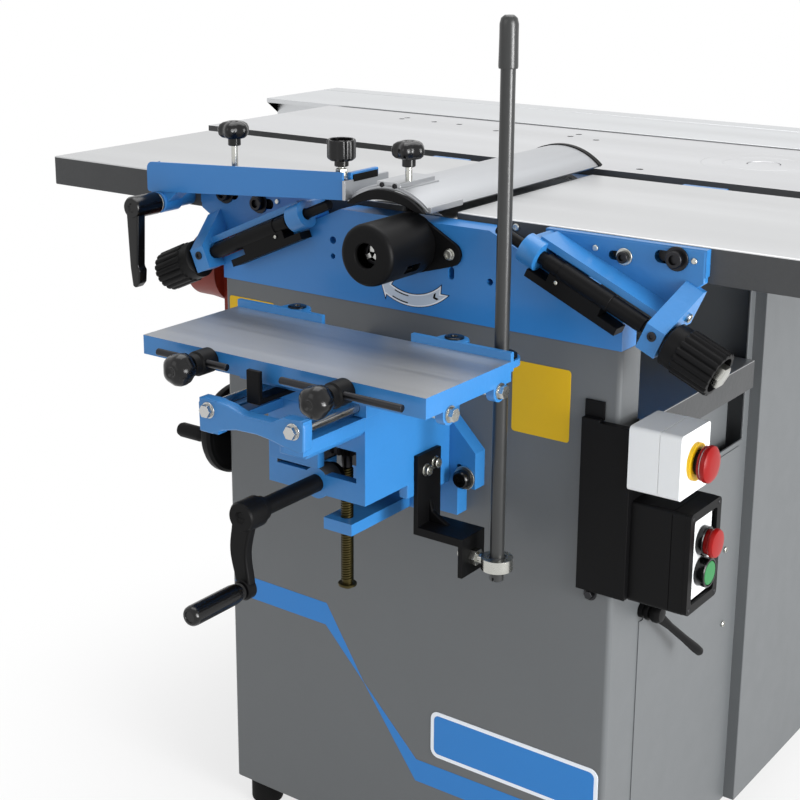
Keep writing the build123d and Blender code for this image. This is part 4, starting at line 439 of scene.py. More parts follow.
def dress(node, *finishes, edge=1.0, steps=2, angle=28.0, pick=None, cuts=None):
    """Copy of a solid with rounded edges that stands for its node; pick gives a face's finish number."""
    bm = bmesh.new()
    bm.from_mesh(nodes[node].data)
    bmesh.ops.remove_doubles(bm, verts=bm.verts, dist=2e-6)
    bmesh.ops.dissolve_limit(bm, angle_limit=radians(0.6), verts=bm.verts, edges=bm.edges)
    if cuts:
        bm = cut_away(bm, moved(cuts, TO_FRAME))
    if edge:
        soften(bm, edge / 1000, steps, angle)
    bm.normal_update()
    for face in bm.faces:
        face.material_index = pick(face) if pick else 0
    piece = add_piece(bm, node + "_body", body_of_node[node], *finishes)
    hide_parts(node)
    return piece


def drawn_centre(face):
    """Middle of a face in the drawing's millimetres."""
    return TO_FRAME.inverted() @ face.calc_center_median()


def faces_up(face):
    """Finish 1 on faces that look up, and on the chamfer round them."""
    return int(face.normal.z > 0.35)


# Places on the adjusters' incline: X runs down the screw, Y into the machine, Z away from the slope
SLOPE_RIGHT = at(240, -15, 823.985) @ Matrix.Rotation(radians(24), 4, "Y")
SLOPE_LEFT = at(14, 0, 0) @ Matrix.Diagonal((-1, 1, 1, 1)) @ SLOPE_RIGHT

# Foot of the chuck's cover on the housing, on the cutter's axis
COVER_FOOT = at(0, -2, 841, FRONT)


def tables_and_cabinets():
    """Ground tables, grey cabinets with their stripe, bare plates and side panel."""
    for node in ("infeed_table", "outfeed_table"):
        dress(node, cast_dark, ground_iron, edge=1.6, pick=faces_up)
    dress("saw_table", cast_dark, ground_saw, edge=1.6, pick=faces_up)
    dress("spindle_rings", ground_saw, edge=0.5)
    groove = slab((-900, 500), (892.4, 895.6), (872.4, 880), 0)
    dress("sliding_table", slider_alu, edge=0.8, cuts=groove)
    seam = slab((-844.4, 444.4), (892.5, 895.5), (872.5, 875.4), 0.2)
    add_detail(seam, "slider_seam", "slider", rubber_black)
    dress("slide_rail", slider_alu, edge=0.8)
    dress("planer_cabinet", grey_powder, edge=4.0, steps=3)
    dress("saw_cabinet", grey_powder, edge=4.0, steps=3)
    dress("machine_feet", rubber_black, edge=2.0)
    dress("planer_motor", grey_powder, edge=2.0)
    add_detail(moved(socket_screw(4.2, 2.4), at(119, 34.5, 868, FRONT)), "table_edge_screw", "outfeed",
               zinc_plate)

    left = ((-289, 349), (-132.6, 347.4), (-72.3, 254), (-134, 316.7), (-289, 318.2))
    right = ((-72.3, 254), (10.6, 173), (269, 175.5), (269, 144.5), (9.7, 142.6))
    stripe = joined(*(moved(prism(points, 0.3), at(0, 0, 0, FRONT)) for points in (left, right)))
    add_detail(stripe, "front_stripe", "base", blue_print)
    add_detail(moved(round_plate(235, 63, 11, 0.8, 0.2), at(150.5, 0, 218.5, FRONT)), "plate_border", "base",
               pale_print)
    add_detail(moved(round_plate(225, 53, 7, 1.0, 0.2), at(150.5, 0, 218.5, FRONT)), "plate_field", "base",
               blue_print)
    add_detail(moved(round_plate(75, 84, 4, 0.5, 0.1), at(176.5, 0, 682, FRONT)), "yellow_plate", "base",
               yellow_print)
    add_detail(moved(round_plate(75, 84, 4, 0.5, 0.1), at(-250, 0, 692.5, FRONT)), "left_yellow_plate",
               "base", yellow_print)

    panel = moved(round_plate(268, 476, 12, 1.2, 0.4), at(275, 204, 318, RIGHT))
    panel = cut_away(panel, moved(bar(15, 20), at(265, 75, 428, RIGHT)))
    add_detail(panel, "side_panel", "base", grey_powder)
    for k, (y, z) in enumerate(((304, 423), (310, 317))):
        add_detail(moved(socket_screw(4.0, 2.6), at(274.8, y, z, RIGHT)), f"panel_screw_{k}", "base",
                   zinc_plate)


def swing_arrow():
    """Arrow of the cutter's turning direction, a bordered band under the chuck's cover."""
    def spot(radius, angle):
        return arc(0, 0, radius, angle, angle, 1)[:1]

    band = arc(0, 0, 77, -46, -118, 18) + spot(83, -117) + spot(69, -131)
    band += spot(55, -117) + arc(0, 0, 61, -118, -46, 18) + spot(69, -53)
    bm = prism(band, 0.4)
    top = max(bm.faces, key=lambda f: f.calc_center_median().z)
    for finish, width in ((1, 0.8), (2, 1.6)):
        bmesh.ops.inset_region(bm, faces=[top], thickness=width, use_even_offset=True)
        top.material_index = finish
        for face in {f for e in top.edges for f in e.link_faces} - {top}:
            face.material_index = finish - 1
    add_detail(moved(bm, COVER_FOOT), "swing_arrow", "base", black_moulded, pale_print, mid_print)
    fold = arc(0, 0, 73, -58, -61, 2) + spot(69, -64) + arc(0, 0, 65, -61, -58, 2) + spot(69, -61)
    streaks = [prism(arc(0, 0, r, -112, -94, 6) + arc(0, 0, r - 1.4, -94, -112, 6), 0.5)
               for r in (74, 65.4)]
    add_detail(moved(joined(prism(fold, 0.5), *streaks), COVER_FOOT), "arrow_marks", "base", black_moulded)


def housing_and_chuck():
    """Blue housing with its holes, the cutter, and the black cover round the chuck."""
    holes = [moved(bar(r, 20, 0.1, 24), at(x, 10, z, FRONT))
             for x, z, r in ((-116.8, 828.6, 4.6), (-117, 808.8, 3.4), (107.4, 809.3, 4.0))]
    holes.append(moved(round_plate(8, 15, 3.9, 20), at(55, 10, 812, FRONT)))
    dress("planer_housing", blue_sheet, edge=1.5, cuts=joined(*holes))
    swing_arrow()
    dress("cutterblock", bright_steel, edge=0.5)
    dress("planer_knives", bright_steel, edge=0.0)

    dress("mortise_chuck", black_steel, edge=0.6)
    shell = turned(((30, 0), (36, 0), (36, 84), (35.4, 87), (33.7, 89.6), (31.5, 90.7), (29, 91), (15.5, 91),
                    (14.5, 90), (14.5, 86), (15.5, 85), (28, 85), (30, 83), (30, 0)), 64)
    web = arc(55.5, -6, 14.5, -71, 59, 12) + arc(0, 0, 36, 59, 289, 24)
    web = soften(cut_away(prism(web, 5), moved(bar(31, 20), at(0, 0, -5))), 1.2, 2)
    shell = cut_away(shell, slab((20, 50), (-24, -14), (29, 55), 2))
    cover = joined(moved(shell, COVER_FOOT), moved(web, COVER_FOOT))
    add_detail(cover, "cover_shell", "base", black_moulded, replaces=("chuck_cover",))
    add_detail(moved(socket_screw(5.6, 3.4, 6.8, 1.0), at(55.5, -7, 835, FRONT)), "cover_screw", "base",
               zinc_plate)
    jaws = [moved(slab((2.2, 9.5), (-3.2, 3.2), (60, 78), 0.8),
                  Matrix.Rotation(radians(120 * k + 90), 4, "Z"))
            for k in range(3)]
    add_detail(moved(joined(*jaws), COVER_FOOT), "chuck_jaws", "cutter", bright_steel)


def slot_cuts(places):
    """Cutters for the level slots of a bracket's flange."""
    return joined(*(moved(round_plate(w, h, h / 2 - 0.1, 16), at(x, 36, z, FRONT))
                    for x, z, w, h in places))


def table_brackets():
    """Blue brackets of the planer tables with their bolts, the guides and the adjusting knobs."""
    slots = {"infeed": ((-246, 855, 30, 13), (-305, 861, 30, 14)),
             "outfeed": ((254, 855, 24, 10), (313, 861, 34, 14))}
    screws = {"infeed": ((-254, 855, 1.4), (-311, 861, 1.4)), "outfeed": ((261, 855, 1.0), (322, 861, 1.4))}
    pins = {"infeed": ((-224, 860), ), "outfeed": ((226, 860), (342, 861))}
    flanges = {"infeed": ((-165, 873), (-354, 873), (-354, 838), (-340, 830), (-315, 799), (-308, 797),
                          (-165, 861)),
               "outfeed": ((165, 873), (354, 873), (354, 838), (346, 832), (329, 799), (322, 797),
                           (176, 862))}
    for side, place in (("infeed", SLOPE_LEFT), ("outfeed", SLOPE_RIGHT)):
        dress(side + "_bracket", blue_cast, edge=2.2, steps=3, cuts=slot_cuts(slots[side]))
        flange = moved(prism(flanges[side], 10.2, 1.6, 3), at(0, 32.8, 0, FRONT))
        add_detail(cut_away(flange, slot_cuts(slots[side])), side + "_bracket_flange", side, blue_cast)
        eye_block = moved(slab((-86, -65), (0, 44), (-8, 16), 3, 3), place)
        add_detail(eye_block, side + "_eye_block", side, blue_cast)
        for k, (x, z, size) in enumerate(screws[side]):
            washer = zinc_plate if size == 1.0 else black_steel
            ring = moved(tube(9.5 * size, 3.5, 2, 0.4), at(x, 22.6, z, FRONT))
            add_detail(ring, f"{side}_washer_{k}", side, washer)
            bolt = moved(socket_screw(6.6 * size, 5.5 * size), at(x, 22.2, z, FRONT))
            add_detail(bolt, f"{side}_bolt_{k}", side, black_steel)
        for k, (x, z) in enumerate(pins[side]):
            add_detail(moved(bar(3.4, 3.5, 0.8, 20), at(x, 23.6, z, FRONT)), f"{side}_pin_{k}", side,
                       zinc_plate)
        grub = turned(((0, 0), (5.2, 0), (5.2, 1.6), (4.4, 2), (2.6, 2), (2.2, 0.6), (0, 0.6)), 24)
        add_detail(moved(grub, place @ at(91, -16.6, 2, FRONT)), side + "_grub_screw", side, black_steel)
        end_screw = moved(socket_screw(5.2, 3.6, 0, 0.2), place @ at(102.8, 24, 24, RIGHT))
        add_detail(end_screw, side + "_strut_screw", side, zinc_plate)

        sleeve = moved(tube(10.6, 9.2, 66, 0.5), place @ at(-36, 0, 0, RIGHT))
        add_detail(sleeve, side + "_guide_sleeve", "base", black_powder)
        seat = moved(socket_screw(2.2, 1.4), place @ at(-34, -7, -12, FRONT))
        add_detail(seat, side + "_guide_screw", "base", zinc_plate)

        neck = turned(((0, 0), (17, 0), (17, 2.8), (22, 3.1), (24.3, 5), (24.3, 21), (0, 21)), 48)
        ribs = grown(lobed_outline(26, 18, 0.08, 3.0, 10), (0, 0.93), (2, 1.0), (44, 1.0), (46, 0.97),
                     (46.5, 0.86, 1), (46.2, 0.78, 1), (38, 0.76, 1))
        screw = bar(7.5, 190, 0.6)
        tail = bar(6.2, 42, 1.0)
        shape = joined(moved(neck, at(103.3, 0, 0, RIGHT)), moved(ribs, at(121.5, 0, 0, RIGHT)),
                       moved(screw, at(-86, 0, 0, RIGHT)), moved(tail, at(-126, 0, 0, RIGHT)))
        add_detail(moved(shape, place), side + "_hand_knob", side + "_knob", black_moulded,
                   replaces=(side + "_adjuster",))
        nut = moved(hex_bolt(23, 14), place @ at(158, 0, 0, RIGHT))
        add_detail(nut, side + "_knob_nut", side + "_knob", zinc_plate)
    dress("rod_guides", black_powder, edge=0.8)


def star_knob(node, x, y, foot, under):
    """Five-lobed knob with its neck, on a bright stud."""
    knob = joined(moved(lobed_knob(20.5, 21, 5), at(x, y, under)),
                  moved(bar(8, 10, 0.8), at(x, y, under - 9)))
    body = body_of_node[node]
    add_detail(knob, node + "_grip", body, black_gloss, replaces=(node,))
    add_detail(moved(bar(4, under - 8 - foot), at(x, y, foot)), node + "_stud", body, zinc_plate)


def bridge_guard():
    """Guard over the cutter: blue channel arm, aluminium holder, arched beam and its knobs."""
    def low(x):
        return 861 + (x + 403) * 0.0740

    def high(x):
        return 899.3 + (x + 403) * 0.0568

    def on_pivot(y):
        return at(-385, y, 848, FRONT)

    def on_beam(y):
        return at(-26, y, 820.23)

    end, start = -83.2, -403
    side = [(end, low(end)), (end, high(end))] + arc(start + 9, high(start + 9) - 9, 9, 93, 180, 6)
    side += arc(start + 4, low(start) + 4, 4, 180, 270, 4)
    channel = moved(prism(side, 32), at(0, 6, 0, FRONT))
    room = ((start + 3, low(start) + 3), (end + 20, low(end + 20) + 3), (end + 20, 960), (start + 3, 960))
    back = ((start - 5, low(start) + 24), (end + 20, low(end + 20) + 20), (end + 20, 960), (start - 5, 960))
    channel = cut_away(channel, moved(prism(room, 26), at(0, 3, 0, FRONT)))
    channel = soften(cut_away(channel, moved(prism(back, 20), at(0, 16, 0, FRONT))), 1.0, 2)
    gusset = prism(((-397, 848), (-373, 848), (-349, 867), (-402, 865)), 26, 2)
    eye = moved(tube(14, 11.2, 32, 1.2), on_pivot(6))
    gusset = moved(cut_away(gusset, moved(bar(11.4, 60), at(-385, 848, -10))), at(0, 3, 0, FRONT))
    add_detail(joined(channel, gusset, eye), "arm_channel", "guard", blue_sheet, replaces=("guard_arm",))
    add_detail(moved(tube(12.4, 6, 2.6), on_pivot(-26.3)), "pivot_ring", "infeed", zinc_plate)

    add_detail(slab((-112, -84), (-22.6, 2.6), (909, 913), 0.6), "cup_seat", "guard", zinc_plate)
    add_detail(slab((-86, -79.5), (-14, 40), (902, 916), 1.2), "holder_tongue", "guard", blue_sheet)
    add_detail(slab((-79.6, -78), (-11, 37), (905, 913.5), 0.6), "tongue_pad", "guard", rubber_black)
    add_detail(slab((-83.2, -78.4), (-27, 59), (884.5, 908), 0.8), "holder_rail", "guard", beam_alu)
    saddle = moved(arched_plate(85.2, 2.4, 66, (-42, 42.4)), on_beam(-15))
    top = ((-42, 903.6), (-2, 903.6), (-2, 906), (-8, 906), (-8, 910), (-9, 911), (-41, 911), (-42, 910))
    ledge = ((30.7, 881), (35, 881), (35, 888), (30.7, 888))
    holder = joined(saddle, moved(prism(top, 70, 0.5), at(0, 55, 0, FRONT)),
                    moved(prism(ledge, 66, 0.6), at(0, 51, 0, FRONT)))
    add_detail(holder, "beam_holder", "guard", beam_alu)
    for k, x in enumerate((-34, -16)):
        port = turned(((0, 0), (3.2, 0), (3.2, 1.0), (2.8, 1.2), (1.8, 1.2), (1.6, 0.4), (0, 0.4)), 24)
        add_detail(moved(port, at(x, -14.8, 906.7, FRONT)), f"holder_port_{k}", "guard", black_steel)

    beam = moved(arched_plate(82.27, 3.0, 405, (-42.9, 42.9)), on_beam(-16))
    add_detail(beam, "beam_arch", "bridge", beam_alu, replaces=("guard_beam",))
    dress("guard_end_caps", black_moulded, edge=1.0)
    rim = moved(arched_plate(82.9, 3.8, 9, (-43.2, 43.2)), on_beam(382))
    add_detail(rim, "beam_end_rim", "bridge", black_moulded)

    star_knob("arm_star_knob", -265, -10, 873, 940)
    star_knob("beam_star_knob", -12.5, 8, 909, 936.1)
    cup = grown(lobed_outline(17.3, 7, 0.10, 1.6), (0, 0.84), (1.6, 0.96), (3.4, 1.0), (22.6, 1.0),
                (24.4, 0.97), (25, 0.90, 1), (24.6, 0.80, 1), (12, 0.77, 1))
    cup = joined(moved(cup, at(-97, -10, 929)), moved(bar(8.5, 8.4, 0.8), at(-97, -10, 921.6)))
    add_detail(cup, "cup_grip", "cup", black_gloss, replaces=("cup_knob",))
    stud = joined(moved(hex_bolt(13, 5, 9.5, 1.6), at(-97, -10, 913)), moved(bar(4, 42), at(-97, -10, 884)))
    add_detail(stud, "cup_stud", "cup", zinc_plate)

    hub = turned(((0, 0), (12, 0), (14.2, 2), (14.2, 42), (12.4, 45), (6, 45), (4.5, 43.2), (0, 43.2)), 40)
    blade = prism(((-396, 846), (-392.5, 770), (-389, 745), (-384, 743), (-376.5, 751), (-375, 767),
                   (-378.5, 772), (-374.5, 846)), 15, 3.2, 3)
    stud = moved(bar(5, 26), on_pivot(-5))
    handle = joined(moved(hub, on_pivot(-29.6)), moved(blade, at(0, -58.5, 0, FRONT)), stud)
    add_detail(handle, "clamp_handle", "clamp", black_gloss, replaces=("clamp_lever",))


def arched_plate(radius, wall, length, span):
    """Plate bent about Y through angles from straight up, standing on Y = 0."""
    bm = bmesh.new()
    start = Matrix.Rotation(radians(span[0]), 4, "Y") @ Vector((0, 0, radius))
    first = bm.verts.new(start)
    bmesh.ops.spin(bm, geom=[first], cent=(0, 0, 0), axis=(0, 1, 0), angle=radians(span[1] - span[0]),
                   steps=40)
    made = bmesh.ops.extrude_edge_only(bm, edges=bm.edges)["geom"]
    ends = [g for g in made if isinstance(g, bmesh.types.BMVert)]
    bmesh.ops.translate(bm, vec=(0, length, 0), verts=ends)
    bmesh.ops.recalc_face_normals(bm, faces=bm.faces)
    if sum(f.normal.z for f in bm.faces) < 0:
        bmesh.ops.reverse_faces(bm, faces=bm.faces)
    bmesh.ops.solidify(bm, geom=bm.faces[:], thickness=-wall)
    bmesh.ops.recalc_face_normals(bm, faces=bm.faces)
    return soften(bm, 0.5, 2, 60)


def thicknesser():
    """Bed under the cutter with its hood, handwheel and lock."""
    def on_wheel(x):
        return at(x, 45, 535, LEFT)

    dress("thicknesser_bed", cast_dark, ground_iron, edge=1.2, pick=faces_up)
    dress("chip_hood", red_sheet, edge=2.0, steps=3)
    add_detail(slab((252, 255), (50, 335), (547, 634), 0.8), "bed_apron", "bed", grey_powder)
    dish = turned(((0, 3), (46, 3), (52, 0), (58, 0), (61.5, 3.5), (61.5, 12), (58.5, 16), (53, 16), (47, 10),
                   (24, 8), (18, 13), (0, 13)), 64)
    grip = turned(((0, 0), (7, 0), (8, 4), (10, 7), (10, 40), (8.5, 44.4), (5, 45), (0, 45)), 36)
    wheel = joined(moved(dish, on_wheel(-317)), moved(bar(16, 21, 1), on_wheel(-296)),
                   moved(bar(10, 70, 1), on_wheel(-240)), moved(grip, at(-333, -5, 535, LEFT)))
    add_detail(wheel, "wheel_dish", "handwheel", black_moulded, replaces=("bed_handwheel",))

    hub = turned(((0, 0), (9.5, 0), (9.5, 5), (8, 6), (8, 7.5), (10.4, 8.5), (10.4, 12), (8.2, 13), (9.2, 15),
                  (11, 18), (11, 23), (8.6, 27), (0, 28)), 36)
    foot, tip = Vector((292, 80, 424)), Vector((319, 172, 338))
    along = (tip - foot).to_track_quat("Z", "Y").to_matrix().to_4x4()
    handle = turned(((0, 0), (6, 0), (6.5, 10), (4.6, 32), (4.8, 70), (5.8, 97), (5.4, 107), (3, 111),
                     (0, 112)), 32)
    lever = joined(moved(hub, at(275.3, 75, 428, RIGHT)), moved(handle, at(*foot) @ along),
                   moved(bar(6, 45), at(236, 75, 428, RIGHT)))
    add_detail(lever, "lock_handle", "bed_lock", black_moulded, replaces=("bed_lock_lever",))


def mortiser_knee():
    """Slideway, knee casting with its yoke and horns, crank and lift screw."""
    dress("mortiser_slideway", blue_cast, edge=2.2, steps=3,
          cuts=moved(bar(4, 30, 0.1, 24), at(82, 10, 588, FRONT)))
    cap = turned(((0, 2), (10.6, 2), (11, 3), (11, 9), (8.5, 12), (4.6, 12), (4, 9), (0, 9)), 32)
    add_detail(moved(cap, at(90, -20.3, 577, FRONT)), "way_lock_cap", "way_lock", black_gloss,
               replaces=("slideway_lock",))
    add_detail(moved(tube(14, 4, 2), at(90, -20.3, 577, FRONT)), "way_lock_washer", "way_lock", zinc_plate)

    # Painted shade: the faces inside the knee's cavity take the dark cast finish.
    dress("knee_casting", blue_cast, cast_dark, edge=2.2, steps=3, pick=knee_cavity_painted_shade)
    yoke = ((-72, 676), (-73, 708), (-69, 715), (-47, 714), (-30, 712), (-9, 705.5), (28, 705.5), (42, 713),
            (69, 715), (72.5, 708), (72, 682), (66, 679), (52, 681), (26, 686), (8, 688), (-20, 687),
            (-38, 683), (-54, 676))
    add_detail(moved(prism(yoke, 15, 2.4, 3), at(0, -276.6, 0, FRONT)), "knee_yoke", "knee", blue_cast)
    horn = ((27, 689.6), (68.4, 689.6), (68.4, 675), (62, 668), (27, 668))
    horn = moved(prism(horn, 95, 2.0, 3), at(0, -182, 0, FRONT))
    face = slab((-68.4, 4), (-183.6, -172), (616, 690), 2.2)
    legs = [slab((side * 56, side * 68.4)[::side], (-104, -73), (571, 592), 2) for side in (-1, 1)]
    add_detail(joined(face, horn, *legs), "knee_ribs", "knee", blue_cast)

    dress("cross_rods", bright_steel, edge=0.8)
    dress("lever_bracket", black_powder, edge=2.6, steps=3)
    rib = moved(prism(((73, 532), (73, 566), (78, 548), (104, 532)), 7, 1.4), at(0, -62, 0, FRONT))
    add_detail(rib, "bracket_rib", "knee", black_powder)
    for k, (y, z) in enumerate(((-76, 600), (-58, 604))):
        add_detail(moved(socket_screw(6, 5, 7.4, 1.2), at(73.8, y, z, RIGHT)), f"bracket_bolt_{k}", "knee",
                   zinc_plate)
    dress("rod_end", zinc_plate, edge=1.2, steps=3)

    hub = turned(((0, 0), (13.5, 0), (14, 6), (17, 9), (17, 32), (15, 35), (7, 35), (5, 33), (0, 33)), 44)
    steps, crank_z, eye_z = 14, 600, 518
    drop = crank_z - eye_z
    spine = [(t / steps, -6 * sin(pi * t / steps) ** 2, crank_z - drop * t / steps)
             for t in range(steps + 1)]
    edge = [(bow - 13.5 + 4.5 * t, z) for t, bow, z in spine]
    edge += [(bow + 13.5 - 4.0 * t, z) for t, bow, z in spine[::-1]]
    arm = prism(edge, 12, 2.6, 3)
    eye = turned(((0, 0), (10, 0), (12, 2), (12, 11), (10, 13), (0, 13)), 36)
    crank = joined(moved(hub, at(0, -275, crank_z, FRONT)), moved(arm, at(0, -297, 0, FRONT)),
                   moved(eye, at(0, -297, eye_z, FRONT)),
                   moved(bar(10, 128, 0.8), at(0, -149, crank_z, FRONT)),
                   moved(bar(15, 8, 0.8), at(0, -149, crank_z, FRONT)),
                   moved(bar(5, 77), at(0, -309, eye_z, FRONT)))
    add_detail(crank, "crank_handle", "crank", black_moulded, replaces=("lift_crank",))
    grip = turned(((5.2, 0), (8.6, 0), (9.2, 2.5), (7.6, 4), (7.6, 6), (10, 8), (11, 15), (11, 74),
                   (10.4, 77.5), (9, 79.4), (6.5, 80), (5.8, 78.8), (0, 78.8), (0, 78), (5.2, 78),
                   (5.2, 0)), 40)
    add_detail(moved(grip, at(0, -310.3, eye_z, FRONT)), "crank_grip_sleeve", "grip", black_gloss,
               replaces=("crank_grip",))

    gear = grown(lobed_outline(20, 22, 0.12, 1.0, 6), (0, 1), (9, 1))
    screw_foot = at(0, -127, 454)
    top = joined(moved(bar(6.2, 88, 1.2), at(0, 0, 148)), moved(gear, at(0, 0, 168)))
    add_detail(moved(top, screw_foot), "lift_screw_gear", "screw", black_steel)
    ridges = [moved(thread(7.5, 6.0, 6.0, 23), at(0, 0, 9, Matrix.Rotation(pi * k, 4, "Z")))
              for k in range(2)]
    screw = joined(bar(6.2, 148, 0.6), moved(tube(11, 5, 3, 0.5), at(0, 0, 3)), *ridges)
    add_detail(moved(screw, screw_foot), "lift_screw_thread", "screw", dark_brass, replaces=("lift_screw",))


def knee_cavity_painted_shade(face):
    """Painted shade: the dark cast finish on the faces inside the knee's cavity, where shadow falls."""
    x, y, z = drawn_centre(face)
    return int(abs(x) < 56.5 and -172.65 < y < -45.65 and 600 < z < 686)


def thread(radius, core, lead, turns):
    """Ridge of a screw thread that winds up Z."""
    bm = bmesh.new()
    ridge = ((core - 0.4, 0), (radius, 0.7), (radius, 1.5), (core - 0.4, 2.2))
    points = [bm.verts.new((r, 0, h)) for r, h in ridge]
    edges = [bm.edges.new(pair) for pair in zip(points, points[1:] + points[:1])]
    bmesh.ops.spin(bm, geom=points + edges, cent=(0, 0, 0), axis=(0, 0, 1), dvec=(0, 0, lead / 18),
                   angle=2 * pi * turns, steps=18 * turns)
    bmesh.ops.holes_fill(bm, edges=bm.edges, sides=0)
    bmesh.ops.recalc_face_normals(bm, faces=bm.faces)
    return bm


def mortise_table_top():
    """Carriage and table of the mortiser with their stops, and the lever that moves them."""
    dress("cross_carriage", blue_cast, edge=2.0, steps=3)
    dress("stop_bracket", black_powder, edge=1.2)
    dress("mortise_table", blue_cast, ground_iron, edge=1.4, pick=table_face)
    dress("table_rods", zinc_plate, edge=0.8)
    for k, x in enumerate((-111, 111)):
        lug = prism(arc(x, -82, 19, 0, 180, 12) + [(x - 19, -88), (x + 19, -88)], 10, 1.4)
        add_detail(moved(lug, at(0, 0, 752)), f"rear_lug_{k}", "mortiser", blue_cast)
        disc = turned(((0, 0), (11, 0), (11, 2), (9.5, 2.6), (4.5, 2.6), (4, 1), (0, 1)), 32)
        add_detail(moved(disc, at(x, -78, 761.6)), f"lug_disc_{k}", "mortiser", black_gloss)
    lever_x, lever_y = 167, -70
    bush = turned(((11.8, 0), (12.8, 0), (12.8, 8.4), (17, 8.6), (17, 12), (15.5, 13), (11.8, 13),
                   (10.3, 6.5), (11.8, 0)), 40)
    add_detail(moved(bush, at(lever_x, lever_y, 740.6)), "lever_bush", "mortiser", black_moulded)

    stop_z = 742
    for side, x in (("left", -93), ("right", 93)):
        sleeve = turned(((4.4, 0), (13.4, 0), (13.8, 1), (13.8, 21), (12.6, 22.4), (12, 23), (12, 31.4),
                         (11.4, 32), (4.4, 32), (4.4, 0)), 40)
        bore = moved(bar(4.3, 60, 0.1, 24), at(x - 30, -267, 744, RIGHT))
        sleeve = cut_away(moved(sleeve, at(x, -250, stop_z, FRONT)), bore)
        add_detail(sleeve, side + "_stop_sleeve", "mortiser", black_moulded)
        knob = joined(moved(lobed_knob(18.2, 27, 5, 0.08, 1.2), at(x, -284, stop_z, FRONT)),
                      moved(bar(8.6, 6, 0.8), at(x, -282, stop_z, FRONT)),
                      moved(bar(4, 12), at(x, -272, stop_z, FRONT)))
        add_detail(knob, side + "_knob_grip", side + "_knob", black_gloss, replaces=(side + "_stop_knob",))
        dress(side + "_stop_rod", black_steel, edge=0.8)

    dress("ball_race", bright_steel, edge=0.0)
    rod = turned(((0, 0), (7, 0), (8, 1), (8, 569), (10, 569), (10.4, 571), (10, 600), (10, 614), (8.6, 620),
                  (5, 623), (0, 623)), 40)
    ball = bmesh.new()
    bmesh.ops.create_uvsphere(ball, u_segments=36, v_segments=24, radius=11, matrix=at(0, 0, 21))
    rod = cut_away(rod, slab((-1.3, 1.3), (-20, 20), (-5, 5), 0))
    add_detail(moved(joined(rod, ball), at(lever_x, lever_y, 488)), "lever_rod", "lever", lever_satin,
               replaces=("control_lever",))


def table_face(face):
    """Ground finish on the mortise table's top alone."""
    return int(face.normal.z > 0.9 and abs(drawn_centre(face).z - 753) < 0.6)


def rim_groove(x, y, z, width=0.9, depth=0.8):
    """Cutters for a narrow seam round a box at a distance along X."""
    cut = (x - width / 2, x + width / 2)
    whole, inside = (y[0] - 1, y[1] + 1), (z[0] + 2, z[1] - 2)
    return joined(slab(cut, whole, (z[1] - depth, z[1] + 1), 0),
                  slab(cut, whole, (z[0] - 1, z[0] + depth), 0),
                  slab(cut, (y[0] - 1, y[0] + depth), inside, 0),
                  slab(cut, (y[1] - depth, y[1] + 1), inside, 0))


def switch_gear():
    """Bracket on the corner with the emergency stop and the main switch."""
    def on_estop(x):
        return at(x, 20.5, 644.5, RIGHT)

    def on_switch(x, z):
        return at(x, 36.5, z, RIGHT)

    dress("control_bracket", black_powder, edge=1.0)
    add_detail(slab((234, 258), (-3, 0), (676, 697), 0.8), "bracket_tab", "base", black_powder)
    add_detail(moved(hex_bolt(10, 5, 8, 1.4), at(248, 0, 468, FRONT)), "bracket_foot_bolt", "base",
               black_steel)

    dress("estop_box", white_moulded, yellow_print, edge=1.6, steps=3,
          cuts=rim_groove(331, (-15, 56), (608, 681)), pick=lambda f: int(drawn_centre(f).x > 356.3))
    for k, (y, z) in enumerate(((-8, 615), (49, 615), (-8, 674), (49, 674))):
        screw = moved(socket_screw(2.6, 0.5, 0, 0.2), at(355.8, y, z, RIGHT))
        add_detail(screw, f"estop_lid_screw_{k}", "base", white_moulded)
    add_detail(moved(tube(14.2, 9.3, 4.6, 0.4), on_estop(360)), "estop_collar", "base", black_moulded)
    head = turned(((0, 5.4), (15.2, 5.4), (15.2, 0), (17.6, 0), (19.2, 1.2), (19.2, 3.0), (17.4, 3.2),
                   (17.4, 4.4), (20.2, 4.8), (20.8, 7), (20.2, 10), (17, 12.4), (11, 13.4), (0, 13.6)), 48)
    head = joined(moved(head, on_estop(365.3)), moved(bar(9, 28), on_estop(345)))
    add_detail(head, "estop_mushroom", "estop", red_moulded, replaces=("estop_button",))
    gap_ring = moved(tube(18.4, 17.2, 1.3, 0.1), on_estop(368.4))
    add_detail(gap_ring, "estop_gap_ring", "estop", white_moulded)

    dress("switch_box", black_moulded, white_moulded, edge=1.4, steps=3,
          cuts=rim_groove(344, (-2, 75), (473, 591)), pick=lambda f: int(drawn_centre(f).x > 360.1))
    rim = moved(round_plate(77, 118, 6, 6.5, 0), on_switch(359.5, 532))
    rim = soften(cut_away(rim, moved(round_plate(56, 97, 3, 20), on_switch(352, 532))), 1.2, 2)
    add_detail(rim, "switch_frame", "base", black_moulded)
    for k, (y, z) in enumerate(((4, 479), (69, 479), (4, 585), (69, 585))):
        screw = moved(socket_screw(2.8, 0.4, 0, 0.2), at(365.8, y, z, RIGHT))
        add_detail(screw, f"switch_lid_screw_{k}", "base", black_steel)
    for name, z, length in (("stop", 550, 8), ("start", 514, 12)):
        collar = moved(tube(16.8, 14.4, length, 0.8), on_switch(362, z))
        add_detail(collar, name + "_shroud", "base", black_gloss)
    red = turned(((0, 0), (13.8, 0), (13.8, 26), (15.4, 26.6), (16.5, 28.4), (16.5, 31), (15.2, 33.2),
                  (11, 34), (0, 34.2)), 44)
    add_detail(moved(red, on_switch(348, 550)), "stop_mushroom", "stop", red_moulded,
               replaces=("stop_button",))
    green = turned(((0, 0), (13.8, 0), (13.8, 25), (13, 26), (0, 26.2)), 44)
    add_detail(moved(green, on_switch(348, 514)), "start_cap", "start", green_moulded,
               replaces=("start_button",))


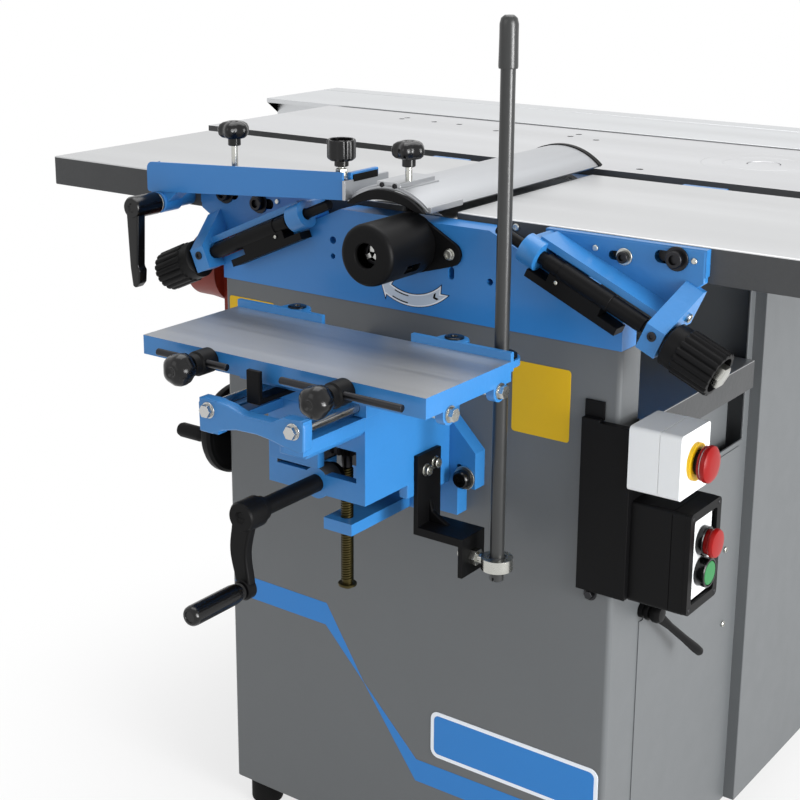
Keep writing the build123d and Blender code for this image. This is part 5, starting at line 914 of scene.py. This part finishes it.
def saw_and_spindle():
    """Units under the rear table."""
    dress("saw_unit", cast_dark, edge=1.0)
    dress("saw_blade", bright_steel, edge=0.0)
    dress("spindle_unit", cast_dark, edge=1.0)
    dress("spindle_shaft", bright_steel, edge=0.5)
    cap = turned(((0, 0), (21.6, 0), (22, 0.6), (22, 5), (21.4, 5.6), (0, 5.6)), 48)
    add_detail(moved(cap, at(185, 570, 870)), "spindle_cap", "shaft", ground_saw)


def light_panel(name, place, aim, size, power):
    """Soft rectangular lamp that looks at a point."""
    lamp = bpy.data.lights.new(name, "AREA")
    lamp.shape = "RECTANGLE"
    lamp.size, lamp.size_y = size
    lamp.energy = power
    holder = bpy.data.objects.new(name, lamp)
    holder.location = place
    holder.rotation_euler = (Vector(aim) - Vector(place)).to_track_quat("-Z", "Y").to_euler()
    scene.collection.objects.link(holder)


def seen_white(tree, lit, white):
    """Mixes two shaders: camera, glossy and transmission rays see the white one."""
    path = tree.nodes.new("ShaderNodeLightPath")
    seen = math_node(tree, "MAXIMUM", path.outputs["Is Camera Ray"], path.outputs["Is Glossy Ray"])
    seen = math_node(tree, "MAXIMUM", seen, path.outputs["Is Transmission Ray"])
    mix = tree.nodes.new("ShaderNodeMixShader")
    tree.links.new(seen, mix.inputs[0])
    tree.links.new(lit, mix.inputs[1])
    tree.links.new(white, mix.inputs[2])
    return mix.outputs[0]


def build_studio():
    """White room, pale floor, soft lamps and the camera."""
    world = bpy.data.worlds.new("studio")
    scene.world = world
    world.use_nodes = True
    tree = world.node_tree
    tree.nodes.clear()
    lit, white = (tree.nodes.new("ShaderNodeBackground") for _ in range(2))
    lit.inputs["Strength"].default_value = 0.50
    for node in (lit, white):
        node.inputs["Color"].default_value = (1, 1, 1, 1)
    out = tree.nodes.new("ShaderNodeOutputWorld")
    tree.links.new(seen_white(tree, lit.outputs[0], white.outputs[0]), out.inputs["Surface"])

    bm = bmesh.new()
    bmesh.ops.create_circle(bm, cap_ends=True, segments=96, radius=14.0)
    mesh = bpy.data.meshes.new("studio_floor")
    bm.to_mesh(mesh)
    bm.free()
    floor = bpy.data.objects.new("studio_floor", mesh)
    scene.collection.objects.link(floor)
    pale = bpy.data.materials.new("studio_floor")
    pale.use_nodes = True
    tree = pale.node_tree
    shader = tree.nodes["Principled BSDF"]
    shader.inputs["Base Color"].default_value = (0.9, 0.9, 0.9, 1)
    shader.inputs["Roughness"].default_value = 0.9
    glow = tree.nodes.new("ShaderNodeEmission")
    place = tree.nodes.new("ShaderNodeTexCoord")
    reach = tree.nodes.new("ShaderNodeVectorMath")
    reach.operation = "LENGTH"
    tree.links.new(place.outputs["Object"], reach.inputs[0])
    fade = tree.nodes.new("ShaderNodeMapRange")
    fade.interpolation_type = "SMOOTHSTEP"
    fade.inputs["From Min"].default_value = 0.3
    fade.inputs["From Max"].default_value = 0.9
    fade.inputs["To Min"].default_value = 0.7
    tree.links.new(reach.outputs["Value"], fade.inputs["Value"])
    mix = tree.nodes.new("ShaderNodeMixShader")
    tree.links.new(fade.outputs[0], mix.inputs[0])
    tree.links.new(shader.outputs[0], mix.inputs[1])
    tree.links.new(glow.outputs[0], mix.inputs[2])
    tree.links.new(seen_white(tree, shader.outputs[0], mix.outputs[0]),
                   tree.nodes["Material Output"].inputs["Surface"])
    mesh.materials.append(pale)

    light_panel("key", (3.6, -0.9, 1.5), (0.1, -0.2, 0.6), (1.8, 1.8), 108)
    light_panel("side", (3.0, -0.5, 0.72), (0.35, 0.1, 0.68), (0.8, 0.8), 42)
    light_panel("front", (-0.8, -3.6, 2.4), (0.0, -0.2, 0.7), (2.4, 2.0), 15)
    light_panel("top", (-0.2, 0.6, 3.4), (0.0, 0.0, 0.8), (2.6, 2.6), 60)

    camera = bpy.data.cameras.new("camera")
    camera.lens = 69.3
    camera.shift_x, camera.shift_y = 0.04, -0.11
    holder = bpy.data.objects.new("camera", camera)
    holder.location = (1.1075, -1.70305, 1.2188)
    holder.rotation_euler = Vector((-0.5805, 0.7732, -0.2554)).to_track_quat("-Z", "Y").to_euler()
    scene.collection.objects.link(holder)
    scene.camera = holder
    scene.view_settings.view_transform = "Standard"


build_studio()
tables_and_cabinets()
housing_and_chuck()
table_brackets()
bridge_guard()
thicknesser()
mortiser_knee()
mortise_table_top()
switch_gear()
saw_and_spindle()
